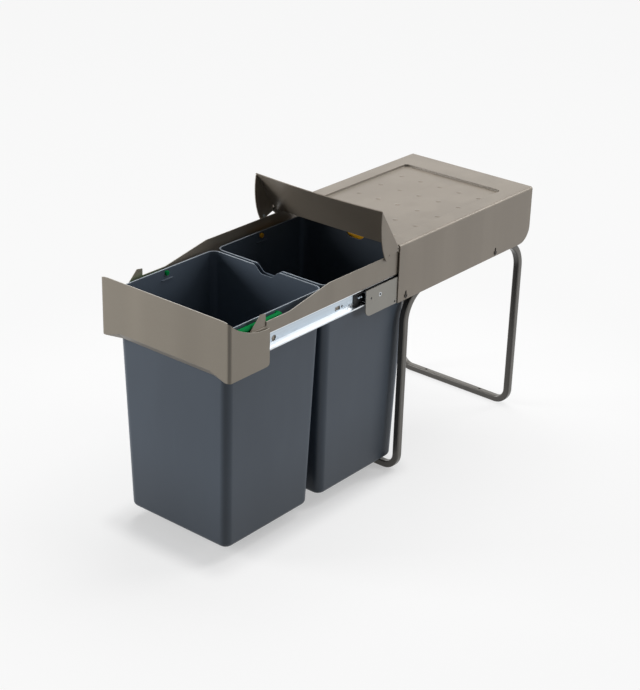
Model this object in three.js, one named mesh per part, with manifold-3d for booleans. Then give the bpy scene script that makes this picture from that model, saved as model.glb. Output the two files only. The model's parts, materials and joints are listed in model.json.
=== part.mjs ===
// Pull-out waste-bin unit for a kitchen cabinet, drawn with its carriage pulled out.
// Millimetres. X runs across the unit, Y from the front panel to the back, Z up from the floor.
// Y is counted from the front edge of the cover, and the finished group is centred at the end.
import * as THREE from "three";
import { mergeVertices } from "three/addons/utils/BufferGeometryUtils.js";
import Module from "manifold-3d";

const wasm = await Module();
wasm.setup();

// ---------------------------------------------------------------- driving sizes
const GAP = 0.3; // between pieces that touch on the real unit
const HOLE_PLAY = 0.3; // radial play of a screw, rivet or pin in its hole

// Cover: a folded sheet with a sunk field on top.
const COVER_WIDTH = 262;
const COVER_DEPTH = 379;
const COVER_TOP = 421;
const SKIRT_HEIGHT = 99;
const SHEET = 1.5;
const FOLD_RADIUS = 3;
const SKIRT_CORNER = 28;
const FIELD_MARGIN = 28.5; // from the cover's side to the field
const FIELD_FRONT = 14;
const FIELD_BACK = 325;
const FIELD_DEPTH = 3;
const FIELD_SLOPE = 2.5;
const FIELD_CORNER = 7;
const BUMP_COLUMNS = 5;
const BUMP_ROWS = 5;
const BUMP_MARGIN_LEFT = 29; // from the field's edge to the nearest bumps
const BUMP_MARGIN_RIGHT = 12;
const BUMP_MARGIN_FRONT = 20;
const BUMP_MARGIN_BACK = 51;
const BUMP_RADIUS = 5.5;
const BUMP_HEIGHT = 1.2;

// Tube stand: two bent hoops, butted together behind the skirts.
const TUBE = 12;
const TUBE_EDGE = 2.5;
const FRONT_LEG_Y = 32.5;
const REAR_LEG_Y = 366;
const TUBE_TOP = 334.5;
const TOP_BEND = 54;
const FOOT_BEND = 25;
const FLOOR_HOLE_X = 61;
const FLOOR_HOLE = 4.6;

// Slide brackets, runners and their screws.
const BRACKET_FRONT = -81;
const BRACKET_BACK = 135;
const BRACKET_TOP = 367;
const BRACKET_CORNER = 12;
const REAR_BRACKET_LENGTH = 62;
const REAR_BRACKET_INSET = 8; // from its back edge to the runner's end
const RUNNER_LENGTH = 400;
const RUNNER_FRONT = -80;
const RUNNER_HEIGHT = 17;
const RUNNER_DEPTH = 7.9;
const SLIDE_SHEET = 1.2;
const SLIDE_CENTRE_Z = 355;
const RUNNER_SCREW_Z = 351;
const RUNNER_SCREW_Y = -44.5;
const REAR_SCREW_INSET = 12; // from the rear bracket's back edge
const SKIRT_SCREW_Z = 328.5;
const SKIRT_SCREW_FRONT_Y = 20.7;
const SKIRT_SCREW_INSET = 25; // from the rear bracket's front edge
const SKIRT_SLOT_DROP = 5; // from the screw to the slot's foot
const SKIRT_SLOT_RISE = 9; // and to its head
const SCREW = 4;
const SCREW_HEAD = 7;
const SCREW_HEAD_HEIGHT = 1.1;

// Moving channel of each slide and the ball cage in it.
const TRAVEL = 306;
const CHANNEL_HEIGHT = 28;
const CHANNEL_DEPTH = 10.3;
const CHANNEL_LIP = 3.1;
const CHANNEL_PLAY = 0.8; // from its lips to the bracket's side
const CHANNEL_FRONT = -391;
const CHANNEL_LENGTH = 400;
const CHANNEL_HOLE_Y = -285.5;
const CHANNEL_HOLE = 10;
const CHANNEL_SLOT_Y = -137;
const CHANNEL_SLOT_LENGTH = 12;
const CHANNEL_SLOT_HEIGHT = 6;
const CHANNEL_DOT_Y = -126;
const CHANNEL_DOT = 4.2;
const CAGE_LENGTH = 127;
const CAGE_FLANGE = 7.2;
const BALLS_A_ROW = 4;

// Side rails of the carriage.
const RAIL_SHEET = 1.2;
const RAIL_PLAY = 0.1;
const RAIL_LOW_TOP = 391.5;
const RAIL_HIGH_TOP = 409;
const RAIL_STUB_TOP = 384;
const RAIL_WEB_FRONT = -314;
const RAMP_FRONT = -263;
const RAMP_BACK = -171;
const SHELF_Z = 371;
const RIVET = 4;
const RIVET_HEAD = 7;
const RIVET_HEAD_HEIGHT = 1.1;
const RIVETS_Y = [-330, -30];

// Front panel with its side tabs, and the brackets that hold it.
const PANEL_FRONT = -396.5;
const PANEL_TOP = 416;
const PANEL_BOTTOM = 320.6;
const TAB_BACK = -309.5;
const TAB_CORNER = 6;
const TAB_NOSE = 10.5; // run and drop of the tab's edge as it leaves the panel
const TAB_NOSE_DROP = 16;
const GRIP_END = 39; // from the panel's side to the finger grip
const GRIP_TOP = 331;
const GRIP_INSET = 7;
const FIN_FRONT = -348;
const FIN_PEAK_FRONT = -325.5;
const FIN_PEAK = 405.5;
const FIN_BACK_TOP = 403.5;
const FIN_FLANGE = 13;

// Bins.
const BIN_SIDE_ROOM = 12.8; // between a bin's rim and a rail's upper web
const BIN_LENGTH = 215;
const BIN_TOP = 395.8;
const BIN_BOTTOM = 21;
const BIN_TAPER = 0.027; // inward lean of each wall
const BIN_WALL = 2;
const BIN_FLOOR = 2.5;
const BIN_CORNER = 14;
const BIN_FOOT_ROUND = 8;
const FRONT_BIN_FRONT = -382.6;
const BIN_SPACING = 220.6;
const COLLAR_PLAY = 4.4; // between a bin's collar and a rail's upper web
const COLLAR_REACH_ENDS = 2;
const COLLAR_THICK = 2;
const SCOOP_WIDTH = 56;
const SCOOP_DEPTH = 12.3;
const SCOOP_FLAT = 18;
const LEDGE_LENGTH = 24;
const LEDGE_Z = 379;
const LEDGE_REACH = 2;
const LEDGE_THICK = 1.5;

// Bin handles.
const HANDLE_ROD = 8;
const HANDLE_PIVOT_Z = 388;
const HANDLE_PIVOT = 8.4;
const THUMB_WIDTH = 52; // the flat grip in the middle of the bar, which fills the rim's scoop
const THUMB_DROP = 10;
const THUMB_THICK = 2.4;

// Ties between the two rails.
const CROSS_PLATE_ROOM = 3.5; // behind the rear bin's handle
const CROSS_PLATE_RETURN = 11;
const CROSS_PLATE_MARGIN = 3; // below and above, within the slide's height
const STRAP_DEPTH = 9;
const STRAP_PLAY = 0.5; // to the bin on each side

// Flap hinged to the cover's front edge.
const FLAP_TIP = -90;
const FLAP_BACK = -3;
const FLAP_AXIS_Y = -5.6;
const FLAP_AXIS_Z = 417;
const FLAP_RAISED_DEG = 57;
const FLAP_EDGE_SAG = 5;
const GUSSET_DROP = 36;
const GUSSET_BACK = -10;
const GUSSET_START = 2; // behind the plate's tip
const GUSSET_NOSE = 15; // fullness of the gusset's edge near the tip
const GUSSET_BELLY = 31; // and towards its heel
const TAB_CLEARANCE = 4; // between a gusset and the panel's tab below it, when shut
const HINGE_PIN = 3;
const EAR_RADIUS = 3.8;
const EAR_BACK = 24;
const EAR_BOTTOM = 402;
const NOTCH_LENGTH = 10;
const FOLLOWER_Y = -13.5;
const FOLLOWER_Z = 394.3;
const FOLLOWER = 5;

// ---------------------------------------------------------------- worked-out places
const HALF = COVER_WIDTH / 2;
const SKIRT_IN = HALF - SHEET;
const SKIRT_BOTTOM = COVER_TOP - SKIRT_HEIGHT;
const FIELD_FLOOR = COVER_TOP - FIELD_DEPTH;
const FIELD_WIDTH = COVER_WIDTH - 2 * FIELD_MARGIN;
const BUMP_PITCH_X = (FIELD_WIDTH - BUMP_MARGIN_LEFT - BUMP_MARGIN_RIGHT) / (BUMP_COLUMNS - 1);
const BUMP_PITCH_Y = (FIELD_BACK - FIELD_FRONT - BUMP_MARGIN_FRONT - BUMP_MARGIN_BACK) / (BUMP_ROWS - 1);

const BRACKET_OUT = SKIRT_IN - GAP;
const BRACKET_IN = BRACKET_OUT - SHEET;
const TUBE_X = BRACKET_IN - GAP - TUBE / 2;
const RUN_Z = TUBE_TOP - TUBE / 2;

const RUNNER_OUT = BRACKET_IN - GAP;
const RUNNER_IN = RUNNER_OUT - RUNNER_DEPTH;
const REAR_BRACKET_BACK = RUNNER_FRONT + RUNNER_LENGTH - REAR_BRACKET_INSET;
const REAR_BRACKET_FRONT = REAR_BRACKET_BACK - REAR_BRACKET_LENGTH;
const REAR_RUNNER_SCREW_Y = REAR_BRACKET_BACK - REAR_SCREW_INSET;
const SKIRT_SCREW_REAR_Y = REAR_BRACKET_FRONT + SKIRT_SCREW_INSET;
const RUNNER_TOP = SLIDE_CENTRE_Z + RUNNER_HEIGHT / 2;
const CHANNEL_TOP = SLIDE_CENTRE_Z + CHANNEL_HEIGHT / 2;
const CHANNEL_BOTTOM = SLIDE_CENTRE_Z - CHANNEL_HEIGHT / 2;
const CHANNEL_OUT = RUNNER_OUT - CHANNEL_PLAY;
const CHANNEL_IN = CHANNEL_OUT - CHANNEL_DEPTH;
const CHANNEL_BACK = CHANNEL_FRONT + CHANNEL_LENGTH;
const CAGE_IN = CHANNEL_IN + SLIDE_SHEET + GAP;
const BALL = CHANNEL_TOP - SLIDE_SHEET - RUNNER_TOP - 2 * GAP;
const BALL_Z = (CHANNEL_TOP - SLIDE_SHEET + RUNNER_TOP) / 2;
const CAGE_TOP = BALL_Z + SLIDE_SHEET / 2;
const CAGE_MIDDLE = (RUNNER_FRONT + CHANNEL_BACK) / 2;

const RAIL_FOOT_X = CHANNEL_IN - GAP; // outer face of the rail's lower web
const RAIL_OUT = BRACKET_IN - RAIL_PLAY; // outer face of the rail's upper web
const RAIL_IN = RAIL_OUT - RAIL_SHEET;
const RAIL_FOOT_IN = RAIL_FOOT_X - RAIL_SHEET;
const SHELF_TOP = SHELF_Z + RAIL_SHEET;
const RAIL_FRONT = PANEL_FRONT + SHEET + GAP;

const PANEL_HALF = HALF; // the tabs close in line with the skirts
const PANEL_IN = PANEL_FRONT + SHEET;
const GRIP_HALF_WIDTH = PANEL_HALF - GRIP_END;

const COLLAR_Z = SHELF_TOP + GAP;
const BIN_WIDTH = 2 * (RAIL_IN - BIN_SIDE_ROOM);
const COLLAR_OUT = RAIL_IN - COLLAR_PLAY;
const REAR_BIN_FRONT = FRONT_BIN_FRONT + BIN_SPACING;
const REAR_BIN_BACK = REAR_BIN_FRONT + BIN_LENGTH;
const HANDLE_OFFSET = HANDLE_ROD / 2 + GAP;
const HANDLE_X = BIN_WIDTH / 2 + HANDLE_OFFSET;
const CROSS_PLATE_Y = REAR_BIN_BACK + HANDLE_OFFSET + HANDLE_ROD / 2 + CROSS_PLATE_ROOM;
const RAIL_BACK = CROSS_PLATE_Y + RAIL_SHEET;
const FIN_X = RAIL_IN - GAP; // outer face of the panel bracket

const PAINT = { color: 0x877f73, roughness: 0.5, metalness: 0.35 };
const DARK_PAINT = { color: 0x5b564e, roughness: 0.5, metalness: 0.35 };
const ZINC = { color: 0xc6ccd2, roughness: 0.3, metalness: 0.9 };
const CAGE_BLACK = { color: 0x1b1c1f, roughness: 0.5, metalness: 0.1 };
const BIN_GREY = { color: 0x4c535b, roughness: 0.55, metalness: 0 };
const GREEN = { color: 0x0c9a55, roughness: 0.4, metalness: 0 };
const YELLOW = { color: 0xd79a17, roughness: 0.4, metalness: 0 };

// ---------------------------------------------------------------- solids
function solid(geometry) {
  const bare = geometry.clone();
  bare.deleteAttribute("normal");
  bare.deleteAttribute("uv");
  const merged = mergeVertices(bare, 1e-4);
  return new wasm.Manifold(
    new wasm.Mesh({
      numProp: 3,
      vertProperties: new Float32Array(merged.attributes.position.array),
      triVerts: new Uint32Array(merged.index.array),
    }),
  );
}

function geometryOf(made) {
  const mesh = made.getMesh();
  const geometry = new THREE.BufferGeometry();
  geometry.setAttribute("position", new THREE.BufferAttribute(mesh.vertProperties, 3));
  geometry.setIndex(new THREE.BufferAttribute(mesh.triVerts, 1));
  geometry.computeVertexNormals();
  return geometry;
}

function join(first, ...others) {
  let made = solid(first);
  for (const other of others) made = made.add(solid(other));
  return geometryOf(made);
}

function cut(first, ...tools) {
  let made = solid(first);
  for (const tool of tools) made = made.subtract(solid(tool));
  return geometryOf(made);
}

function common(first, second) {
  return geometryOf(solid(first).intersect(solid(second)));
}

// A box between two corners.
function box(x0, x1, y0, y1, z0, z1) {
  const made = new THREE.BoxGeometry(x1 - x0, y1 - y0, z1 - z0);
  return made.translate((x0 + x1) / 2, (y0 + y1) / 2, (z0 + z1) / 2);
}

// A flat outline of [y, z] points, as a plate between two x values.
function plateAcross(outline, x0, x1) {
  const made = new THREE.ExtrudeGeometry(outline, { depth: x1 - x0, bevelEnabled: false, curveSegments: 8 });
  const turn = new THREE.Matrix4().makeBasis(
    new THREE.Vector3(0, 1, 0),
    new THREE.Vector3(0, 0, 1),
    new THREE.Vector3(1, 0, 0),
  );
  return made.applyMatrix4(turn).translate(x0, 0, 0);
}

// A section of [x, z] points, drawn out between two y values.
function sectionAlong(outline, y0, y1) {
  const made = new THREE.ExtrudeGeometry(outline, { depth: y1 - y0, bevelEnabled: false, curveSegments: 8 });
  return made.rotateX(Math.PI / 2).translate(0, y1, 0);
}

// An outline of [x, y] points, raised between two z values.
function plateUp(outline, z0, z1) {
  const made = new THREE.ExtrudeGeometry(outline, { depth: z1 - z0, bevelEnabled: false, curveSegments: 8 });
  return made.translate(0, 0, z0);
}

function outlineOf(points) {
  return new THREE.Shape(points.map(([u, v]) => new THREE.Vector2(u, v)));
}

// A round bar along X.
function barAcross(diameter, x0, x1, y, z, sides = 16) {
  const made = new THREE.CylinderGeometry(diameter / 2, diameter / 2, x1 - x0, sides);
  return made.rotateZ(Math.PI / 2).translate((x0 + x1) / 2, y, z);
}

// A round bar along Z.
function barUp(diameter, z0, z1, x, y, sides = 16) {
  const made = new THREE.CylinderGeometry(diameter / 2, diameter / 2, z1 - z0, sides);
  return made.rotateX(Math.PI / 2).translate(x, y, (z0 + z1) / 2);
}

// The section of a folded sheet: its outer face follows the points, each fold has the given
// radius on that face, and the sheet's thickness lies on the left of the path (side 1) or right (-1).
function foldedSheet(points, radius, thickness, side) {
  const path = points.map(([u, v]) => new THREE.Vector2(u, v));
  const outer = [];
  const inner = [];
  const put = (at, heading) => {
    const normal = new THREE.Vector2(-Math.sin(heading), Math.cos(heading)).multiplyScalar(side * thickness);
    outer.push(at.clone());
    inner.push(at.clone().add(normal));
  };
  const headingOf = (a, b) => Math.atan2(b.y - a.y, b.x - a.x);
  const steps = 3;
  put(path[0], headingOf(path[0], path[1]));
  for (let i = 1; i < path.length - 1; i++) {
    const from = headingOf(path[i - 1], path[i]);
    let turn = headingOf(path[i], path[i + 1]) - from;
    if (turn > Math.PI) turn -= 2 * Math.PI;
    if (turn < -Math.PI) turn += 2 * Math.PI;
    const away = Math.sign(turn);
    const back = radius * Math.tan(Math.abs(turn) / 2);
    const start = path[i].clone().sub(new THREE.Vector2(Math.cos(from), Math.sin(from)).multiplyScalar(back));
    const inward = new THREE.Vector2(-Math.sin(from), Math.cos(from)).multiplyScalar(away * radius);
    const centre = start.clone().add(inward);
    for (let k = 0; k <= steps; k++) {
      const heading = from + (turn * k) / steps;
      const spoke = new THREE.Vector2(Math.sin(heading), -Math.cos(heading)).multiplyScalar(away * radius);
      put(centre.clone().add(spoke), heading);
    }
  }
  put(path[path.length - 1], headingOf(path[path.length - 2], path[path.length - 1]));
  return new THREE.Shape([...outer, ...inner.reverse()]);
}

// The corner points of a rounded rectangle, counter-clockwise seen from above.
function roundedRing(halfX, y0, y1, radius, z, steps = 4) {
  const ring = [];
  const corners = [
    [halfX - radius, y0 + radius, -Math.PI / 2],
    [halfX - radius, y1 - radius, 0],
    [-halfX + radius, y1 - radius, Math.PI / 2],
    [-halfX + radius, y0 + radius, Math.PI],
  ];
  for (const [x, y, start] of corners) {
    for (let k = 0; k <= steps; k++) {
      const angle = start + ((Math.PI / 2) * k) / steps;
      ring.push([x + radius * Math.cos(angle), y + radius * Math.sin(angle), z]);
    }
  }
  return ring;
}

// A closed skin through rings of equal count, with a flat cap on the first and the last ring.
// A loop of rings that returns to its start needs no caps.
function skin(rings, closed = false, shift = 0) {
  const count = rings[0].length;
  const positions = rings.flat(2);
  const faces = [];
  const bands = closed ? rings.length : rings.length - 1;
  for (let r = 0; r < bands; r++) {
    const next = (r + 1) % rings.length;
    const slip = next === 0 ? shift : 0;
    for (let k = 0; k < count; k++) {
      const a = r * count + k;
      const b = r * count + ((k + 1) % count);
      const c = next * count + ((k + 1 + slip) % count);
      const d = next * count + ((k + slip) % count);
      faces.push(a, b, c, a, c, d);
    }
  }
  if (!closed) {
    const last = (rings.length - 1) * count;
    for (let k = 1; k < count - 1; k++) {
      faces.push(0, k + 1, k);
      faces.push(last, last + k, last + k + 1);
    }
  }
  const geometry = new THREE.BufferGeometry();
  geometry.setAttribute("position", new THREE.Float32BufferAttribute(positions, 3));
  geometry.setIndex(faces);
  geometry.computeVertexNormals();
  return geometry;
}

// A bar of the given section along corner points, with an arc at each inner corner.
// The section is a ring of [u, v] points, counter-clockwise seen against the direction of travel.
function bentBar(corners, radii, section, arcSteps) {
  const at = corners.map(([x, y, z]) => new THREE.Vector3(x, y, z));
  const rings = [];
  const along = at[1].clone().sub(at[0]).normalize();
  const helper = Math.abs(along.z) > 0.9 ? new THREE.Vector3(0, 1, 0) : new THREE.Vector3(0, 0, 1);
  let u = helper.clone().cross(along).normalize();
  let v = along.clone().cross(u);
  const ringAt = (centre) => {
    rings.push(section.map(([a, b]) => centre.clone().addScaledVector(u, a).addScaledVector(v, b).toArray()));
  };
  ringAt(at[0]);
  for (let i = 1; i < at.length - 1; i++) {
    const before = at[i].clone().sub(at[i - 1]).normalize();
    const after = at[i + 1].clone().sub(at[i]).normalize();
    const hinge = before.clone().cross(after).normalize();
    const angle = before.angleTo(after);
    const radius = radii[i - 1];
    const start = at[i].clone().addScaledVector(before, -radius * Math.tan(angle / 2));
    const inward = hinge.clone().cross(before);
    const centre = start.clone().addScaledVector(inward, radius);
    for (let k = 0; k <= arcSteps; k++) {
      const step = k === 0 ? 0 : angle / arcSteps;
      u.applyAxisAngle(hinge, step);
      v.applyAxisAngle(hinge, step);
      const spoke = start.clone().sub(centre).applyAxisAngle(hinge, (angle * k) / arcSteps);
      ringAt(centre.clone().add(spoke));
    }
  }
  ringAt(at[at.length - 1]);
  return skin(rings);
}

function squareSection(size, edge, steps = 2) {
  return roundedRing(size / 2, -size / 2, size / 2, edge, 0, steps).map(([a, b]) => [a, b]);
}

function roundSection(diameter, sides) {
  const ring = [];
  for (let k = 0; k < sides; k++) {
    const angle = (2 * Math.PI * k) / sides;
    ring.push([(diameter / 2) * Math.cos(angle), (diameter / 2) * Math.sin(angle)]);
  }
  return ring;
}

// ---------------------------------------------------------------- scene graph
const cabinet = new THREE.Group();
const paints = { PAINT, DARK_PAINT, ZINC, CAGE_BLACK, BIN_GREY, GREEN, YELLOW };

function piece(name, geometry, finish, parent = cabinet) {
  const mesh = new THREE.Mesh(geometry, new THREE.MeshStandardMaterial(paints[finish]));
  mesh.name = name;
  parent.add(mesh);
  return mesh;
}

// Makes a piece for the right side, and its mirror image for the left.
function pair(name, geometry, finish, parent = cabinet) {
  piece(`${name}_right`, geometry, finish, parent);
  const mirrored = solid(geometry).mirror([1, 0, 0]);
  piece(`${name}_left`, geometryOf(mirrored), finish, parent);
}

// ---------------------------------------------------------------- tube stand
function hoop(legY, meetY) {
  const corners = [
    [TUBE_X, meetY, RUN_Z],
    [TUBE_X, legY, RUN_Z],
    [TUBE_X, legY, TUBE / 2],
    [-TUBE_X, legY, TUBE / 2],
    [-TUBE_X, legY, RUN_Z],
    [-TUBE_X, meetY, RUN_Z],
  ];
  const radii = [TOP_BEND, FOOT_BEND, FOOT_BEND, TOP_BEND];
  const bar = bentBar(corners, radii, squareSection(TUBE, TUBE_EDGE), 6);
  const floorHoles = [-FLOOR_HOLE_X, FLOOR_HOLE_X].map((x) => barUp(FLOOR_HOLE, -1, TUBE + 1, x, legY, 12));
  return cut(bar, ...floorHoles);
}

function tubeStand() {
  const meet = (FRONT_LEG_Y + REAR_LEG_Y) / 2;
  const screwHole = SCREW + 2 * HOLE_PLAY;
  piece("front_hoop", hoop(FRONT_LEG_Y, meet - GAP / 2), "DARK_PAINT");
  const holes = [-1, 1].map((side) => {
    const [x0, x1] = [TUBE_X * side - TUBE, TUBE_X * side + TUBE];
    return barAcross(screwHole, x0, x1, SKIRT_SCREW_REAR_Y, SKIRT_SCREW_Z, 12);
  });
  piece("rear_hoop", cut(hoop(REAR_LEG_Y, meet + GAP / 2), ...holes), "DARK_PAINT");
}

// ---------------------------------------------------------------- cover
function skirtSlot(y) {
  const half = SCREW / 2 + HOLE_PLAY;
  const slot = new THREE.Shape();
  slot.absarc(y, SKIRT_SCREW_Z + SKIRT_SLOT_RISE - half, half, 0, Math.PI);
  slot.absarc(y, SKIRT_SCREW_Z - SKIRT_SLOT_DROP + half, half, Math.PI, 2 * Math.PI);
  return plateAcross(slot, -HALF - 1, HALF + 1);
}

function fieldSkin(grow, lower, upper) {
  const half = FIELD_WIDTH / 2 + grow;
  const [front, back] = [FIELD_FRONT - grow, FIELD_BACK + grow];
  const slope = FIELD_SLOPE;
  const low = roundedRing(half - slope, front + slope, back - slope, FIELD_CORNER + grow - slope, lower);
  const high = roundedRing(half, front, back, FIELD_CORNER + grow, upper);
  return skin([low, high]);
}

function fieldBump(column, row) {
  const sides = 8;
  const bump = new THREE.CylinderGeometry(BUMP_RADIUS / 2, BUMP_RADIUS, BUMP_HEIGHT + SHEET / 2, sides);
  const x = -FIELD_WIDTH / 2 + BUMP_MARGIN_LEFT + column * BUMP_PITCH_X;
  const y = FIELD_FRONT + BUMP_MARGIN_FRONT + row * BUMP_PITCH_Y;
  return bump.rotateX(Math.PI / 2).translate(x, y, FIELD_FLOOR + (BUMP_HEIGHT - SHEET / 2) / 2);
}

function cover() {
  const section = foldedSheet(
    [[-HALF, SKIRT_BOTTOM], [-HALF, COVER_TOP], [HALF, COVER_TOP], [HALF, SKIRT_BOTTOM]],
    FOLD_RADIUS, SHEET, -1,
  );
  const folded = sectionAlong(section, 0, COVER_DEPTH);

  const corner = new THREE.Shape();
  corner.moveTo(COVER_DEPTH + 1, SKIRT_BOTTOM - 1);
  corner.lineTo(COVER_DEPTH + 1, SKIRT_BOTTOM + SKIRT_CORNER);
  corner.lineTo(COVER_DEPTH, SKIRT_BOTTOM + SKIRT_CORNER);
  corner.absarc(COVER_DEPTH - SKIRT_CORNER, SKIRT_BOTTOM + SKIRT_CORNER, SKIRT_CORNER, 0, -Math.PI / 2, true);
  corner.lineTo(COVER_DEPTH - SKIRT_CORNER, SKIRT_BOTTOM - 1);
  const trimmed = cut(
    folded,
    plateAcross(corner, -HALF - 1, HALF + 1),
    skirtSlot(SKIRT_SCREW_FRONT_Y),
    skirtSlot(SKIRT_SCREW_REAR_Y),
  );

  const tray = fieldSkin(SHEET / 2, FIELD_FLOOR - SHEET, COVER_TOP - SHEET / 2);
  const hollow = fieldSkin(0, FIELD_FLOOR, COVER_TOP + FIELD_DEPTH * 0.001);
  const bumps = [];
  for (let row = 0; row < BUMP_ROWS; row++) {
    for (let column = 0; column < BUMP_COLUMNS; column++) bumps.push(fieldBump(column, row));
  }
  return join(cut(join(trimmed, tray), hollow), ...bumps);
}

// ---------------------------------------------------------------- slide brackets and hinge ears
function roundHoles(list, x0, x1) {
  return list.map(([diameter, y, z]) => barAcross(diameter, x0, x1, y, z, 12));
}

// The seat of a countersunk screw whose face lies at x, or with no play the screw's own head.
function countersink(x, y, z, play) {
  const depth = SHEET + play;
  const [wide, narrow] = [SCREW_HEAD / 2 + play, SCREW / 2 + play];
  const seat = new THREE.CylinderGeometry(narrow, wide, depth, 16).rotateZ(Math.PI / 2);
  return seat.translate(x + play - depth / 2, y, z);
}

function frontBracket() {
  const outline = new THREE.Shape();
  outline.moveTo(BRACKET_BACK, SKIRT_BOTTOM + GAP);
  outline.lineTo(BRACKET_BACK, BRACKET_TOP);
  outline.lineTo(BRACKET_FRONT, BRACKET_TOP);
  outline.lineTo(BRACKET_FRONT, SKIRT_BOTTOM + GAP + BRACKET_CORNER);
  const cornerY = BRACKET_FRONT + BRACKET_CORNER;
  const cornerZ = SKIRT_BOTTOM + GAP + BRACKET_CORNER;
  outline.absarc(cornerY, cornerZ, BRACKET_CORNER, Math.PI, 1.5 * Math.PI);
  const screwHole = SCREW + 2 * HOLE_PLAY;
  const holes = [
    [screwHole, SKIRT_SCREW_FRONT_Y, SKIRT_SCREW_Z],
    [4, -67.5, RUNNER_SCREW_Z],
    [3.4, -6, SKIRT_BOTTOM + 4.5],
  ];
  return cut(
    plateAcross(outline, BRACKET_IN, BRACKET_OUT),
    countersink(BRACKET_OUT, RUNNER_SCREW_Y, RUNNER_SCREW_Z, HOLE_PLAY),
    ...roundHoles(holes, BRACKET_IN - 1, BRACKET_OUT + 1),
  );
}

function rearBracket() {
  const plate = box(
    BRACKET_IN, BRACKET_OUT, REAR_BRACKET_FRONT, REAR_BRACKET_BACK, SKIRT_BOTTOM + GAP, BRACKET_TOP,
  );
  return cut(
    plate,
    countersink(BRACKET_OUT, REAR_RUNNER_SCREW_Y, RUNNER_SCREW_Z, HOLE_PLAY),
    barAcross(SCREW + 2 * HOLE_PLAY, BRACKET_IN - 1, BRACKET_OUT + 1, SKIRT_SCREW_REAR_Y, SKIRT_SCREW_Z, 12),
  );
}

function hingeEar() {
  const outline = new THREE.Shape();
  outline.moveTo(EAR_BACK, EAR_BOTTOM);
  outline.lineTo(EAR_BACK, FLAP_AXIS_Z);
  outline.lineTo(FLAP_AXIS_Y + EAR_RADIUS, FLAP_AXIS_Z);
  outline.absarc(FLAP_AXIS_Y, FLAP_AXIS_Z, EAR_RADIUS, 0, Math.PI);
  outline.lineTo(FLAP_AXIS_Y - EAR_RADIUS, FLAP_AXIS_Z - 2);
  outline.lineTo(EAR_BACK / 3, EAR_BOTTOM);
  const plate = plateAcross(outline, SKIRT_IN - GAP - RAIL_SHEET, SKIRT_IN - GAP);
  const hole = HINGE_PIN + 2 * HOLE_PLAY;
  return cut(plate, barAcross(hole, HALF - 10, HALF, FLAP_AXIS_Y, FLAP_AXIS_Z));
}

// ---------------------------------------------------------------- slides
function runner() {
  const bottom = RUNNER_TOP - RUNNER_HEIGHT;
  const section = foldedSheet(
    [[RUNNER_IN, RUNNER_TOP], [RUNNER_OUT, RUNNER_TOP], [RUNNER_OUT, bottom], [RUNNER_IN, bottom]],
    1.8, SLIDE_SHEET, -1,
  );
  const screwHole = SCREW + 2 * HOLE_PLAY;
  const holes = [
    [screwHole, RUNNER_SCREW_Y, RUNNER_SCREW_Z],
    [screwHole, REAR_RUNNER_SCREW_Y, RUNNER_SCREW_Z],
  ];
  const rail = sectionAlong(section, RUNNER_FRONT, RUNNER_FRONT + RUNNER_LENGTH);
  return cut(rail, ...roundHoles(holes, RUNNER_OUT - 3, RUNNER_OUT + 1));
}

function channel() {
  const section = foldedSheet(
    [
      [CHANNEL_OUT, CHANNEL_TOP - CHANNEL_LIP],
      [CHANNEL_OUT, CHANNEL_TOP],
      [CHANNEL_IN, CHANNEL_TOP],
      [CHANNEL_IN, CHANNEL_BOTTOM],
      [CHANNEL_OUT, CHANNEL_BOTTOM],
      [CHANNEL_OUT, CHANNEL_BOTTOM + CHANNEL_LIP],
    ],
    1.8, SLIDE_SHEET, 1,
  );
  const holeZ = SLIDE_CENTRE_Z - 2;
  const [x0, x1] = [CHANNEL_IN - 1, CHANNEL_IN + SLIDE_SHEET + 1];
  const slot = box(
    x0, x1,
    CHANNEL_SLOT_Y - CHANNEL_SLOT_LENGTH / 2, CHANNEL_SLOT_Y + CHANNEL_SLOT_LENGTH / 2,
    holeZ - CHANNEL_SLOT_HEIGHT / 2, holeZ + CHANNEL_SLOT_HEIGHT / 2,
  );
  const holes = [
    [CHANNEL_HOLE, CHANNEL_HOLE_Y, holeZ],
    [CHANNEL_DOT, CHANNEL_DOT_Y, holeZ],
    ...RIVETS_Y.map((y) => [RIVET + 2 * HOLE_PLAY, y, SLIDE_CENTRE_Z]),
  ];
  return cut(sectionAlong(section, CHANNEL_FRONT, CHANNEL_BACK), slot, ...roundHoles(holes, x0, x1));
}

function ballCage() {
  const outer = CAGE_IN + CAGE_FLANGE;
  const bottom = 2 * SLIDE_CENTRE_Z - CAGE_TOP;
  const section = foldedSheet(
    [[outer, CAGE_TOP], [CAGE_IN, CAGE_TOP], [CAGE_IN, bottom], [outer, bottom]],
    1.4, 1, 1,
  );
  const front = CAGE_MIDDLE - CAGE_LENGTH / 2;
  const strip = sectionAlong(section, front, front + CAGE_LENGTH);
  const balls = [];
  for (let k = 0; k < BALLS_A_ROW; k++) {
    const y = front + (CAGE_LENGTH * (k + 0.5)) / BALLS_A_ROW;
    for (const z of [BALL_Z, 2 * SLIDE_CENTRE_Z - BALL_Z]) {
      balls.push(new THREE.SphereGeometry(BALL / 2, 8, 6).translate(CAGE_IN + CAGE_FLANGE / 2, y, z));
    }
  }
  return join(strip, ...balls);
}

// ---------------------------------------------------------------- screws, rivets and pins
// A fastener along X: the head's underside is at x, and the shank points inwards.
function fastener(x, y, z, shank, head, headHeight, length) {
  const body = barAcross(shank, x - length, x + headHeight / 2, y, z, 12);
  const cap = barAcross(head, x, x + headHeight, y, z, 16);
  return join(body, cap);
}

function crossRecess(made, x, y, z) {
  const [long, wide, deep] = [SCREW_HEAD * 0.32, SCREW_HEAD * 0.08, SCREW_HEAD_HEIGHT * 0.6];
  return cut(
    made,
    box(x - deep, x + 1, y - long, y + long, z - wide, z + wide),
    box(x - deep, x + 1, y - wide, y + wide, z - long, z + long),
  );
}

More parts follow.
